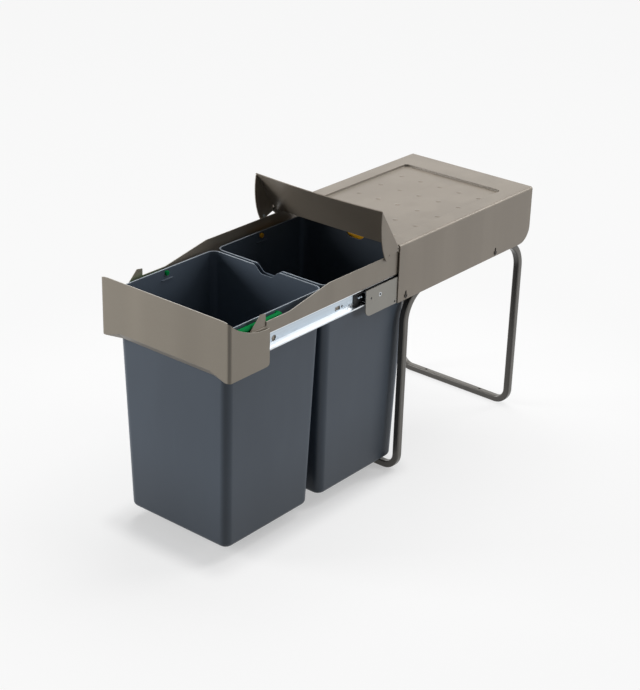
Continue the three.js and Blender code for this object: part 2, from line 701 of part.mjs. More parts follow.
function screw(x, y, z, length) {
  const made = fastener(x, y, z, SCREW, SCREW_HEAD, SCREW_HEAD_HEIGHT, length);
  return crossRecess(made, x + SCREW_HEAD_HEIGHT, y, z);
}

// A countersunk screw, flush with the bracket's outer face, that reaches into the runner's web.
function flushScrew(y) {
  const head = countersink(BRACKET_OUT, y, RUNNER_SCREW_Z, 0);
  const tip = RUNNER_OUT - 2 * SLIDE_SHEET;
  const shank = barAcross(SCREW, tip, BRACKET_OUT - SHEET / 2, y, RUNNER_SCREW_Z, 16);
  return crossRecess(join(shank, head), BRACKET_OUT, y, RUNNER_SCREW_Z);
}

function fixedFasteners() {
  const skirtFace = HALF + GAP / 2;
  pair("skirt_screw_front", screw(skirtFace, SKIRT_SCREW_FRONT_Y, SKIRT_SCREW_Z, 6), "DARK_PAINT");
  pair("skirt_screw_rear", screw(skirtFace, SKIRT_SCREW_REAR_Y, SKIRT_SCREW_Z, 10), "DARK_PAINT");
  pair("runner_screw_front", flushScrew(RUNNER_SCREW_Y), "ZINC");
  pair("runner_screw_rear", flushScrew(REAR_RUNNER_SCREW_Y), "ZINC");
  const pin = barAcross(HINGE_PIN, RAIL_OUT, HALF - 0.1, FLAP_AXIS_Y, FLAP_AXIS_Z);
  pair("hinge_pin", pin, "ZINC");
}

// A rivet from inside the rail's lower web, flush with the channel's inner face.
function rivets() {
  RIVETS_Y.forEach((y, index) => {
    const face = RAIL_FOOT_IN - GAP / 2;
    const shankEnd = CHANNEL_IN + SLIDE_SHEET - 0.1;
    const shank = barAcross(RIVET, face - RIVET_HEAD_HEIGHT / 2, shankEnd, y, SLIDE_CENTRE_Z, 12);
    const head = barAcross(RIVET_HEAD, face - RIVET_HEAD_HEIGHT, face, y, SLIDE_CENTRE_Z, 16);
    pair(`rail_rivet_${index === 0 ? "front" : "rear"}`, join(shank, head), "ZINC");
  });
}

// ---------------------------------------------------------------- carriage
function rail() {
  const section = foldedSheet(
    [[RAIL_FOOT_X, CHANNEL_BOTTOM], [RAIL_FOOT_X, SHELF_Z], [RAIL_OUT, SHELF_Z], [RAIL_OUT, RAIL_HIGH_TOP]],
    1.4, RAIL_SHEET, 1,
  );
  const above = RAIL_HIGH_TOP + 1;
  const waste = outlineOf([
    [RAIL_FRONT - 1, above],
    [RAIL_FRONT - 1, RAIL_STUB_TOP],
    [RAIL_WEB_FRONT, RAIL_STUB_TOP],
    [RAIL_WEB_FRONT, RAIL_LOW_TOP],
    [RAMP_FRONT, RAIL_LOW_TOP],
    [RAMP_BACK, RAIL_HIGH_TOP],
    [RAMP_BACK, above],
  ]);
  const holes = RIVETS_Y.map((y) => [RIVET + 2 * HOLE_PLAY, y, SLIDE_CENTRE_Z]);
  return cut(
    sectionAlong(section, RAIL_FRONT, RAIL_BACK),
    plateAcross(waste, RAIL_FOOT_IN - 1, RAIL_OUT + 1),
    ...roundHoles(holes, RAIL_FOOT_IN - 1, RAIL_FOOT_X + 1),
  );
}

// The lower edge of the flap's side gusset with the flap shut, as [y, z] from its tip to its heel.
function gussetEdge() {
  const tip = new THREE.Vector2(FLAP_TIP + GUSSET_START, COVER_TOP - SHEET);
  const heel = new THREE.Vector2(GUSSET_BACK, COVER_TOP - GUSSET_DROP);
  const curve = new THREE.CubicBezierCurve(
    tip,
    tip.clone().add(new THREE.Vector2(GUSSET_NOSE, -GUSSET_NOSE)),
    heel.clone().add(new THREE.Vector2(-GUSSET_BELLY, 0)),
    heel,
  );
  return curve.getPoints(12).map((point) => [point.x, point.y]);
}

// The upper edge of the panel's side tab, which lies below the gusset when the carriage is shut.
function tabEdge() {
  const start = new THREE.Vector2(PANEL_FRONT, PANEL_TOP);
  const end = new THREE.Vector2(GUSSET_BACK - TRAVEL - 1, COVER_TOP - GUSSET_DROP - TAB_CLEARANCE);
  const curve = new THREE.CubicBezierCurve(
    start,
    start.clone().add(new THREE.Vector2(TAB_NOSE, -TAB_NOSE_DROP)),
    end.clone().add(new THREE.Vector2(-GUSSET_BELLY, 0)),
    end,
  );
  return curve.getPoints(12).map((point) => [point.x, point.y]);
}

function frontPanel() {
  const plan = foldedSheet(
    [[-PANEL_HALF, TAB_BACK], [-PANEL_HALF, PANEL_FRONT], [PANEL_HALF, PANEL_FRONT], [PANEL_HALF, TAB_BACK]],
    FOLD_RADIUS, SHEET, 1,
  );
  const wrapped = plateUp(plan, PANEL_BOTTOM, PANEL_TOP);

  const edge = tabEdge();
  const level = edge[edge.length - 1][1];
  const above = [...edge, [TAB_BACK + 1, level], [TAB_BACK + 1, PANEL_TOP + 1], [PANEL_FRONT, PANEL_TOP + 1]];
  const dips = [-1, 1].map((side) => {
    const [a, b] = [side * (PANEL_HALF - FOLD_RADIUS), side * (PANEL_HALF + 1)];
    return plateAcross(outlineOf(above), Math.min(a, b), Math.max(a, b));
  });

  const corner = new THREE.Shape();
  const [cy, cz] = [TAB_BACK - TAB_CORNER, PANEL_BOTTOM + TAB_CORNER];
  corner.moveTo(TAB_BACK + 1, PANEL_BOTTOM - 1);
  corner.lineTo(TAB_BACK + 1, cz);
  corner.lineTo(TAB_BACK, cz);
  corner.absarc(cy, cz, TAB_CORNER, 0, -Math.PI / 2, true);
  corner.lineTo(cy, PANEL_BOTTOM - 1);

  const gripCut = box(
    -GRIP_HALF_WIDTH, GRIP_HALF_WIDTH, PANEL_FRONT - 1, PANEL_IN + 0.2, PANEL_BOTTOM - 1, GRIP_TOP,
  );
  const gripSection = foldedSheet(
    [[PANEL_FRONT, GRIP_TOP + 4], [PANEL_FRONT, GRIP_TOP], [PANEL_FRONT + GRIP_INSET, PANEL_BOTTOM]],
    FOLD_RADIUS, SHEET, 1,
  );
  const grip = plateAcross(gripSection, -GRIP_HALF_WIDTH - 0.5, GRIP_HALF_WIDTH + 0.5);
  const cornered = cut(
    wrapped,
    ...dips,
    plateAcross(corner, -HALF - 1, HALF + 1),
    gripCut,
  );
  return join(cornered, grip);
}

// Bracket inside each rail's front end: a flange behind the panel, and an upright fin.
function panelBracket() {
  const bottom = SHELF_TOP + GAP;
  const side = outlineOf([
    [RAIL_FRONT, bottom],
    [RAIL_WEB_FRONT, bottom],
    [RAIL_WEB_FRONT, FIN_BACK_TOP],
    [FIN_PEAK_FRONT, FIN_PEAK],
    [FIN_FRONT, RAIL_STUB_TOP],
    [RAIL_FRONT, RAIL_STUB_TOP],
  ]);
  const plate = plateAcross(side, FIN_X - RAIL_SHEET, FIN_X);
  const flange = box(FIN_X - FIN_FLANGE, FIN_X, RAIL_FRONT, RAIL_FRONT + RAIL_SHEET, bottom, FIN_BACK_TOP);
  return join(plate, flange);
}

function crossPlate() {
  const half = RAIL_FOOT_IN - GAP;
  const [low, high] = [CHANNEL_BOTTOM + CROSS_PLATE_MARGIN, CHANNEL_TOP - CROSS_PLATE_MARGIN / 2];
  const plan = foldedSheet(
    [
      [-half, RAIL_BACK - CROSS_PLATE_RETURN],
      [-half, RAIL_BACK],
      [half, RAIL_BACK],
      [half, RAIL_BACK - CROSS_PLATE_RETURN],
    ],
    2, RAIL_SHEET, -1,
  );
  return plateUp(plan, low, high);
}

function dividerStrap() {
  const half = RAIL_FOOT_IN - GAP;
  const lean = BIN_TAPER * (BIN_TOP - SHELF_TOP);
  const front = FRONT_BIN_FRONT + BIN_LENGTH - lean + STRAP_PLAY;
  const back = REAR_BIN_FRONT + lean - STRAP_PLAY;
  const section = foldedSheet(
    [
      [front, SHELF_TOP - STRAP_DEPTH],
      [front, SHELF_TOP],
      [back, SHELF_TOP],
      [back, SHELF_TOP - STRAP_DEPTH],
    ],
    2, RAIL_SHEET, -1,
  );
  return plateAcross(section, -half, half);
}

// ---------------------------------------------------------------- bins and handles
function binRing(front, z, inset) {
  const lean = BIN_TAPER * (BIN_TOP - z) + inset;
  const radius = Math.max(BIN_CORNER - inset, 2);
  return roundedRing(BIN_WIDTH / 2 - lean, front + lean, front + BIN_LENGTH - lean, radius, z);
}

function scoop(y) {
  const [top, floor] = [BIN_TOP + 1, BIN_TOP - SCOOP_DEPTH];
  const outline = new THREE.Shape();
  outline.moveTo(-SCOOP_WIDTH / 2, top);
  const shoulder = BIN_TOP - SCOOP_DEPTH / 3;
  outline.quadraticCurveTo(-SCOOP_WIDTH / 2 + 5, BIN_TOP - 1, -SCOOP_WIDTH / 2 + 8, shoulder);
  outline.quadraticCurveTo(-SCOOP_FLAT / 2 - 6, floor, -SCOOP_FLAT / 2, floor);
  outline.lineTo(SCOOP_FLAT / 2, floor);
  outline.quadraticCurveTo(SCOOP_FLAT / 2 + 6, floor, SCOOP_WIDTH / 2 - 8, shoulder);
  outline.quadraticCurveTo(SCOOP_WIDTH / 2 - 5, BIN_TOP - 1, SCOOP_WIDTH / 2, top);
  const made = new THREE.ExtrudeGeometry(outline, { depth: 12, bevelEnabled: false, curveSegments: 4 });
  return made.rotateX(Math.PI / 2).translate(0, y + 6, 0);
}

function bin(front) {
  const middle = front + BIN_LENGTH / 2;
  const foot = BIN_FOOT_ROUND;
  const shellRings = [
    binRing(front, BIN_BOTTOM, foot),
    binRing(front, BIN_BOTTOM + foot * 0.13, foot * 0.5),
    binRing(front, BIN_BOTTOM + foot * 0.5, foot * 0.13),
    binRing(front, BIN_BOTTOM + foot, 0),
    binRing(front, BIN_TOP, 0),
    binRing(front, BIN_TOP, BIN_WALL),
    binRing(front, BIN_BOTTOM + BIN_FLOOR + foot * 0.7, BIN_WALL),
    binRing(front, BIN_BOTTOM + BIN_FLOOR, BIN_WALL + foot * 0.7),
  ];
  const shell = skin(shellRings);
  const reach = COLLAR_OUT;
  const ends = COLLAR_REACH_ENDS;
  const collarTop = COLLAR_Z + COLLAR_THICK;
  const collar = skin([
    roundedRing(reach, front - ends, front + BIN_LENGTH + ends, BIN_CORNER + ends, COLLAR_Z),
    roundedRing(reach, front - ends, front + BIN_LENGTH + ends, BIN_CORNER + ends, collarTop),
    binRing(front, collarTop, BIN_WALL / 2),
    binRing(front, COLLAR_Z, BIN_WALL / 2),
  ], true);
  const window = HANDLE_PIVOT / 2 + GAP;
  const windows = box(
    -BIN_WIDTH, BIN_WIDTH, middle - window, middle + window, HANDLE_PIVOT_Z - window, HANDLE_PIVOT_Z + window,
  );
  const inner = BIN_WIDTH / 2 - BIN_TAPER * (BIN_TOP - LEDGE_Z) - BIN_WALL;
  const ledges = [-1, 1].map((side) => {
    const [a, b] = [side * (inner - LEDGE_REACH), side * (inner + BIN_WALL / 2)];
    return box(
      Math.min(a, b), Math.max(a, b),
      middle - LEDGE_LENGTH / 2, middle + LEDGE_LENGTH / 2, LEDGE_Z - LEDGE_THICK, LEDGE_Z,
    );
  });
  return cut(
    join(shell, collar, ...ledges),
    scoop(front),
    scoop(front + BIN_LENGTH),
    windows,
  );
}

// A bail that lies round the bin's rim: pivot, arm, bar with a flat thumb grip, arm, pivot.
// Towards is -1 to the front and 1 to the back.
function bail(front, towards) {
  const middle = front + BIN_LENGTH / 2;
  const barY = middle + towards * (BIN_LENGTH / 2 + HANDLE_OFFSET);
  const corners = [
    [HANDLE_X, middle, HANDLE_PIVOT_Z],
    [HANDLE_X, barY, HANDLE_PIVOT_Z],
    [-HANDLE_X, barY, HANDLE_PIVOT_Z],
    [-HANDLE_X, middle, HANDLE_PIVOT_Z],
  ];
  const radius = BIN_CORNER + HANDLE_OFFSET;
  const rod = bentBar(corners, [radius, radius], roundSection(HANDLE_ROD, 12), 5);
  const ends = [-1, 1].map((side) =>
    new THREE.SphereGeometry(HANDLE_ROD / 2, 12, 8).translate(side * HANDLE_X, middle, HANDLE_PIVOT_Z),
  );
  const inner = BIN_WIDTH / 2 - BIN_WALL - 2.5;
  const pivots = [-1, 1].map((side) => {
    const [a, b] = [side * inner, side * HANDLE_X];
    return barAcross(HANDLE_PIVOT, Math.min(a, b), Math.max(a, b), middle, HANDLE_PIVOT_Z);
  });
  const thumb = box(
    -THUMB_WIDTH / 2, THUMB_WIDTH / 2, barY - THUMB_THICK / 2, barY + THUMB_THICK / 2,
    HANDLE_PIVOT_Z - THUMB_DROP, HANDLE_PIVOT_Z,
  );
  return join(rod, ...ends, ...pivots, thumb);
}

// ---------------------------------------------------------------- flap
// Drawn shut, with its hinge axis moved to the origin.
function flap() {
  const low = COVER_TOP - GUSSET_DROP - 1;
  const section = foldedSheet(
    [[-HALF, low], [-HALF, COVER_TOP], [HALF, COVER_TOP], [HALF, low]],
    FOLD_RADIUS, SHEET, -1,
  );
  const folded = sectionAlong(section, FLAP_TIP, FLAP_BACK);

  const side = [
    [FLAP_BACK, COVER_TOP + 1],
    [FLAP_TIP - 1, COVER_TOP + 1],
    [FLAP_TIP - 1, COVER_TOP - SHEET],
    ...gussetEdge(),
    [FLAP_BACK, FLAP_AXIS_Z - HINGE_PIN],
  ];
  const shaped = common(folded, plateAcross(outlineOf(side), -HALF - 1, HALF + 1));

  const chord = HALF - FOLD_RADIUS;
  const sagRadius = (chord * chord + FLAP_EDGE_SAG * FLAP_EDGE_SAG) / (2 * FLAP_EDGE_SAG);
  const scallop = new THREE.CylinderGeometry(sagRadius, sagRadius, 10, 360);
  scallop.rotateX(Math.PI / 2).translate(0, FLAP_TIP + FLAP_EDGE_SAG - sagRadius, COVER_TOP);
  const edgeZone = box(
    -chord, chord, FLAP_TIP - 1, FLAP_TIP + 2 * FLAP_EDGE_SAG, COVER_TOP - 2 * SHEET, COVER_TOP + 1,
  );
  const band = common(scallop, edgeZone);

  const notchX = SKIRT_IN - GAP - RAIL_SHEET - GAP;
  const notches = [-1, 1].map((sign) => {
    const [a, b] = [sign * notchX, sign * SKIRT_IN];
    return box(
      Math.min(a, b), Math.max(a, b), FLAP_BACK - NOTCH_LENGTH, FLAP_BACK + 1, FLAP_AXIS_Z, COVER_TOP + 1,
    );
  });
  const pinHole = barAcross(HINGE_PIN + 2 * HOLE_PLAY, -HALF - 1, HALF + 1, FLAP_AXIS_Y, FLAP_AXIS_Z);
  const studHole = barAcross(HINGE_PIN + 2 * HOLE_PLAY, -HALF - 1, HALF + 1, FOLLOWER_Y, FOLLOWER_Z);
  return cut(shaped, band, ...notches, pinHole, studHole).translate(0, -FLAP_AXIS_Y, -FLAP_AXIS_Z);
}

// The stud inside each gusset that follows the rail's top edge.
function follower() {
  const face = SKIRT_IN - GAP;
  const shank = barAcross(HINGE_PIN, face - 0.5, HALF - 0.1, FOLLOWER_Y, FOLLOWER_Z);
  const head = barAcross(FOLLOWER, face - RAIL_SHEET, face, FOLLOWER_Y, FOLLOWER_Z);
  return join(shank, head).translate(0, -FLAP_AXIS_Y, -FLAP_AXIS_Z);
}

// ---------------------------------------------------------------- assembly
tubeStand();
piece("cover", cover(), "PAINT");
pair("slide_bracket", frontBracket(), "PAINT");
pair("rear_bracket", rearBracket(), "PAINT");
pair("hinge_ear", hingeEar(), "PAINT");
pair("slide_runner", runner(), "ZINC");
fixedFasteners();

pair("ball_cage", ballCage(), "CAGE_BLACK");

piece("front_panel", frontPanel(), "PAINT");
pair("side_rail", rail(), "PAINT");
pair("slide_channel", channel(), "ZINC");
pair("panel_bracket", panelBracket(), "PAINT");
piece("rear_cross_plate", crossPlate(), "PAINT");
piece("divider_strap", dividerStrap(), "PAINT");
rivets();

piece("front_bin", bin(FRONT_BIN_FRONT), "BIN_GREY");
piece("rear_bin", bin(REAR_BIN_FRONT), "BIN_GREY");
piece("green_handle", bail(FRONT_BIN_FRONT, -1), "GREEN");
piece("yellow_handle", bail(REAR_BIN_FRONT, 1), "YELLOW");

const hinge = new THREE.Group();
hinge.position.set(0, FLAP_AXIS_Y, FLAP_AXIS_Z);
hinge.rotation.x = THREE.MathUtils.degToRad(-FLAP_RAISED_DEG);
cabinet.add(hinge);
piece("flap", flap(), "PAINT", hinge);
pair("flap_follower", follower(), "ZINC", hinge);

// The group's origin: on the floor, under the middle of the pulled-out unit.
cabinet.position.y = -(PANEL_FRONT + COVER_DEPTH) / 2;

export default cabinet;
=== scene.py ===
import json
from math import cos, pi, radians, sin

import bpy
from mathutils import Matrix, Vector

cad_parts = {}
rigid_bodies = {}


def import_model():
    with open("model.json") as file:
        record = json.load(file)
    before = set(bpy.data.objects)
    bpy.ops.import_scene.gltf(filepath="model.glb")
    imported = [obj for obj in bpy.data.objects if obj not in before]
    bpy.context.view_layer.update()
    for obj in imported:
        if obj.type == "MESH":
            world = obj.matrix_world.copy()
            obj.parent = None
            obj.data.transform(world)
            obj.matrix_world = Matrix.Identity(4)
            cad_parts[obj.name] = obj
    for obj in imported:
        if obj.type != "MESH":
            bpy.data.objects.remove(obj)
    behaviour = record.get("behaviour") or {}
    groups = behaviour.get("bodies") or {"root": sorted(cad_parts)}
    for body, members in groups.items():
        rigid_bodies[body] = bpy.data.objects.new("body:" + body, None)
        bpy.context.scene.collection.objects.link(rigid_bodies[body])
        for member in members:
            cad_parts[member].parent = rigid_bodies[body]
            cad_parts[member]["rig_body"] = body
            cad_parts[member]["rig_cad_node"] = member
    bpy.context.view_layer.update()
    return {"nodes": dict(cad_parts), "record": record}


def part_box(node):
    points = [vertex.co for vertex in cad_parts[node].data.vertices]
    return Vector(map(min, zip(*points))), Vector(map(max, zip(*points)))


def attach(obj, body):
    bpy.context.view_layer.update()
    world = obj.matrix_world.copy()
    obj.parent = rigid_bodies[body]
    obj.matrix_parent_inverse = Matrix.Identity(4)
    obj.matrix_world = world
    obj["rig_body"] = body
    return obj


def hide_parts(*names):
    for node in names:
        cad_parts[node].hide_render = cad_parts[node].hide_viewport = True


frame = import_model()
nodes = frame["nodes"]

MM = 0.001
COVER_FRONT = 0.00875  # where the cover's front edge lies in the unit's own frame
COVER_BACK = COVER_FRONT + 0.379
HALF = 0.131
TOP = 0.421


# ------------------------------------------------------------------ hand tools
def deselect():
    if bpy.context.object and bpy.context.object.mode != "OBJECT":
        bpy.ops.object.mode_set(mode="OBJECT")
    bpy.ops.object.select_all(action="DESELECT")


def pick(piece):
    deselect()
    piece.select_set(True)
    bpy.context.view_layer.objects.active = piece


def select_parts(piece, kind, test):
    """Selects the faces, edges or vertices for which the test is true, and stays in edit mode."""
    pick(piece)
    bpy.ops.object.mode_set(mode="EDIT")
    bpy.ops.mesh.select_mode(type={"polygons": "FACE", "edges": "EDGE", "vertices": "VERT"}[kind])
    bpy.ops.mesh.select_all(action="DESELECT")
    bpy.ops.object.mode_set(mode="OBJECT")
    mesh = piece.data
    chosen = 0
    for part in getattr(mesh, kind):
        if kind == "polygons":
            found = test(part.center, part.normal)
        elif kind == "edges":
            found = test(*(mesh.vertices[i].co for i in part.vertices))
        else:
            found = test(part.co)
        part.select = bool(found)
        chosen += bool(found)
    bpy.ops.object.mode_set(mode="EDIT")
    return chosen


def leave_edit(piece):
    pick(piece)
    return piece


def settle(piece):
    """Puts the object's place into its mesh."""
    pick(piece)
    bpy.ops.object.transform_apply(location=True, rotation=True, scale=True)
    return piece


def block(name, low, high):
    deselect()
    middle = [(a + b) / 2 for a, b in zip(low, high)]
    size = [b - a for a, b in zip(low, high)]
    bpy.ops.mesh.primitive_cube_add(size=1, location=middle)
    piece = bpy.context.object
    piece.name = piece.data.name = name
    piece.scale = size
    return settle(piece)


def modifier(piece, kind, **settings):
    pick(piece)
    made = piece.modifiers.new(kind.title(), kind)
    for key, value in settings.items():
        setattr(made, key, value)
    bpy.ops.object.modifier_apply(modifier=made.name)
    return piece


def soften(piece, width=0.35 * MM, segments=2, angle=35):
    """Rounds the sharp edges a little and shades the rest smooth."""
    modifier(piece, "BEVEL", width=width, segments=segments, limit_method="ANGLE", angle_limit=radians(angle),
             harden_normals=False, miter_outer="MITER_ARC", use_clamp_overlap=True)
    clean(piece, within=0.002 * MM)
    smooth(piece)
    return modifier(piece, "WEIGHTED_NORMAL", keep_sharp=True, mode="FACE_AREA", weight=60)


def smooth(piece, angle=32):
    pick(piece)
    bpy.ops.object.shade_smooth_by_angle(angle=radians(angle))
    return piece


def carve(piece, *tools, operation="DIFFERENCE"):
    for tool in tools:
        modifier(piece, "BOOLEAN", object=tool, operation=operation, solver="EXACT")
        bpy.data.objects.remove(tool)
    return piece


def clean(piece, outwards=False, within=0.01 * MM):
    pick(piece)
    bpy.ops.object.mode_set(mode="EDIT")
    bpy.ops.mesh.select_all(action="SELECT")
    bpy.ops.mesh.remove_doubles(threshold=within)
    if outwards:
        bpy.ops.mesh.normals_make_consistent(inside=False)
    bpy.ops.object.mode_set(mode="OBJECT")
    return piece


def finished_copy(node, width=0.3 * MM, segments=2, angle=35):
    """A copy of a frame solid with its flats merged and its edges broken, which stands for it."""
    piece = nodes[node].copy()
    piece.data = nodes[node].data.copy()
    piece.parent = None
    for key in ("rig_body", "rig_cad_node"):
        if key in piece:
            del piece[key]
    piece.name = piece.data.name = node + "_finished"
    bpy.context.scene.collection.objects.link(piece)
    piece.matrix_world = Matrix.Identity(4)
    piece.data.materials.clear()
    clean(piece)
    pick(piece)
    bpy.ops.object.mode_set(mode="EDIT")
    bpy.ops.mesh.select_all(action="SELECT")
    bpy.ops.mesh.customdata_custom_splitnormals_clear()
    bpy.ops.mesh.dissolve_limited(angle_limit=radians(0.6))
    bpy.ops.object.mode_set(mode="OBJECT")
    soften(piece, width, segments, angle)
    return piece


def place(piece, body, finish, slot, *stands_for):
    piece.data.materials.clear()
    piece.data.materials.append(finish)
    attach(piece, body)
    if stands_for:
        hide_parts(*stands_for)
    return piece


# ------------------------------------------------------------------ sizes
SHEET = 1.5 * MM
FOLD = 4 * MM
SKIRT_FOOT = 0.322
SKIRT_ROUND = 28 * MM
FIELD_HALF = 102.5 * MM
FIELD_FRONT = COVER_FRONT + 14 * MM
FIELD_BACK = COVER_FRONT + 325 * MM
FIELD_ROUND = 9 * MM
FIELD_STEPS = [  # inset and drop of each step of the drawn wall, in mm
    (0.35, 0.1), (0.25, 0.25), (0.15, 0.5), (0.1, 1.1), (0.1, 1.1), (0.15, 0.5), (0.25, 0.25), (0.35, 0.1),
]
DIMPLE_STEPS = [  # inset and rise of each step up a dimple, in mm
    (0.6, 0.06), (0.7, 0.24), (0.8, 0.32), (1.0, 0.24), (1.1, 0.12), (0.7, 0.03),
]
DIMPLE = 5.6 * MM  # radius at the foot
DIMPLE_ROWS = 5
DIMPLE_FIRST = (29, 20)  # from the field's left front corner to the first dimple, in mm
DIMPLE_PITCH = (41, 60)  # across and along, in mm
SLOT_PLACES = [COVER_FRONT + 20.7 * MM, COVER_FRONT + 275 * MM]
SLOT_Z = 328.5 * MM
SLOT_HALF, SLOT_ROUND = 2.3 * MM, 2.25 * MM
SLOT_BELOW, SLOT_ABOVE = 5 * MM, 9 * MM

PANEL_FACE = COVER_FRONT - 396.5 * MM
PANEL_FOLD = 5.5 * MM
PANEL_FOOT = 320.6 * MM
PANEL_TOP = 416 * MM
TAB_END = COVER_FRONT - 309.5 * MM
GRIP_REACH = 92.5 * MM
GRIP_RUN_OUT = 122 * MM
GRIP_DEPTH = 8.5 * MM
GRIP_CREASE = 331 * MM
SWOOP = [  # the curve of the tabs' top edge: place from the cover's front edge and height, in mm
    (-396.5, 416), (-386, 400), (-348, 381), (-317, 381),
]
SWOOP_CUT = 0.38, 0.43  # foot and top of the block that cuts it
TOP_EASE = [  # the front's top edge near its folds: in from the side, below the top, in mm
    (20, -0.01), (15, 0.12), (11, 0.4), (7, 0.95), (3, 1.9), (-2, 3.2),
]
EASE_CUT = 0.41, 0.43

BIN_HALF = 113.6 * MM
BIN_LENGTH = 215 * MM
BIN_TOP = 395.8 * MM
BIN_FOOT = 21 * MM
BIN_LEAN = 0.027
BIN_WALL = 2 * MM
BIN_FLOOR = 2.5 * MM
BIN_CORNER = 14 * MM
BIN_HEEL = 8 * MM
FRONT_BIN_FACE = COVER_FRONT - 382.6 * MM
REAR_BIN_FACE = COVER_FRONT - 162 * MM
SCOOP_HALF = 28 * MM
SCOOP_FLAT = 9 * MM
SCOOP_DEPTH = 12.3 * MM
SCOOP_CUT = 0.39, 0.41
COLLAR_HALF, COLLAR_ROUND = 122 * MM, 16 * MM
COLLAR_REACH = 2 * MM
COLLAR_LOW, COLLAR_HIGH = 372.5 * MM, 374.5 * MM
LEDGE_HALF, LEDGE_REACH = 12 * MM, 2 * MM
LEDGE_DOWN = 17 * MM
LEDGE_LOW, LEDGE_HIGH = 377.5 * MM, 379 * MM
WINDOW = 4.5 * MM  # half the side of the window that the button sits in

HANDLE_Z = 388 * MM
GREEN_ROD, GREEN_ROD_Z = 8.8 * MM, 387.8 * MM
YELLOW_ROD, YELLOW_ROD_Z = 8 * MM, 387.6 * MM
ROD_GAP = 0.3 * MM
BUTTON, BUTTON_REACH = 4.2 * MM, 4.5 * MM
THUMB_HALF, THUMB_DROP, THUMB_THICK = 26 * MM, 10 * MM, 2.4 * MM

TUBE = 12 * MM
TUBE_EDGE = 2.5 * MM
TUBE_X = 121.4 * MM  # middle of a leg
RUN_Z = 328.5 * MM  # middle of the top run
TOP_BEND = 54 * MM
FOOT_BEND = 25 * MM
HALVES_MEET = COVER_FRONT + 199.25 * MM
FLOOR_HOLE_X = 61 * MM
HOLE_RADIUS = 2.3 * MM
FRONT_LEGS, REAR_LEGS = COVER_FRONT + 32.5 * MM, COVER_FRONT + 366 * MM
PAST_SIDES = 0.14  # half the length of a cutter that goes right through the unit

ROLL_MARK = 348.5 * MM  # where the slide channel's web turns into its lower roll
LIP_MARK = 363.6 * MM  # where the web turns into the upper lip
SCREW_FACE = 129.3 * MM
SOCKET_REACH, SOCKET_HALF, SOCKET_DEPTH = 2.3 * MM, 0.75 * MM, 1.6 * MM
BALL, BALL_Z = 1.5 * MM, 358 * MM
BALL_PLACES = [COVER_FRONT - 92.6 * MM, COVER_FRONT - 86.6 * MM]
BALL_OUT, BALL_IN = 0.7 * MM, 2.4 * MM  # from the cage's face
STEM_IN, STEM_HALF = 2 * MM, 0.4 * MM
CAGE_FACE = 124.2 * MM
LIP_IN, LIP_OUT = 124 * MM, 128 * MM
LIP_LOW, LIP_HIGH = 365 * MM, 370 * MM
LIP_FRONT, LIP_BACK = COVER_FRONT - 395 * MM, COVER_FRONT + 15 * MM


# ------------------------------------------------------------------ finishes
class Tone:
    """A number that runs through a node tree, so that sums can be written plainly."""

    def __init__(self, owner, socket):
        self.owner = owner
        self.socket = socket

    def _maths(self, operation, first, second):
        return self.owner.tone("ShaderNodeMath", 0, {"operation": operation}, {0: first, 1: second})

    def __add__(self, other):
        return self._maths("ADD", self, other)

    def __radd__(self, other):
        return self._maths("ADD", other, self)

    def __sub__(self, other):
        return self._maths("SUBTRACT", self, other)

    def __rsub__(self, other):
        return self._maths("SUBTRACT", other, self)

    def __mul__(self, other):
        return self._maths("MULTIPLY", self, other)

    def __rmul__(self, other):
        return self._maths("MULTIPLY", other, self)


class Nodes:
    """A node tree, and the one way in which nodes are added to it."""

    def __init__(self, tree):
        self.tree = tree

    def node(self, kind, settings=None, values=None):
        made = self.tree.nodes.new(kind)
        for key, value in (settings or {}).items():
            setattr(made, key, value)
        for key, value in (values or {}).items():
            if isinstance(value, Tone):
                value = value.socket
            if isinstance(value, bpy.types.NodeSocket):
                self.tree.links.new(value, made.inputs[key])
            else:
                made.inputs[key].default_value = value
        return made

    def tone(self, kind, output, settings=None, values=None):
        return Tone(self, self.node(kind, settings, values).outputs[output])

    def seen_rays(self):
        """1 for rays from the camera, from a mirror or through glass, 0 for those that carry light."""
        path = self.node("ShaderNodeLightPath")
        seen = Tone(self, path.outputs["Is Camera Ray"]) + Tone(self, path.outputs["Is Glossy Ray"])
        return seen + Tone(self, path.outputs["Is Transmission Ray"])


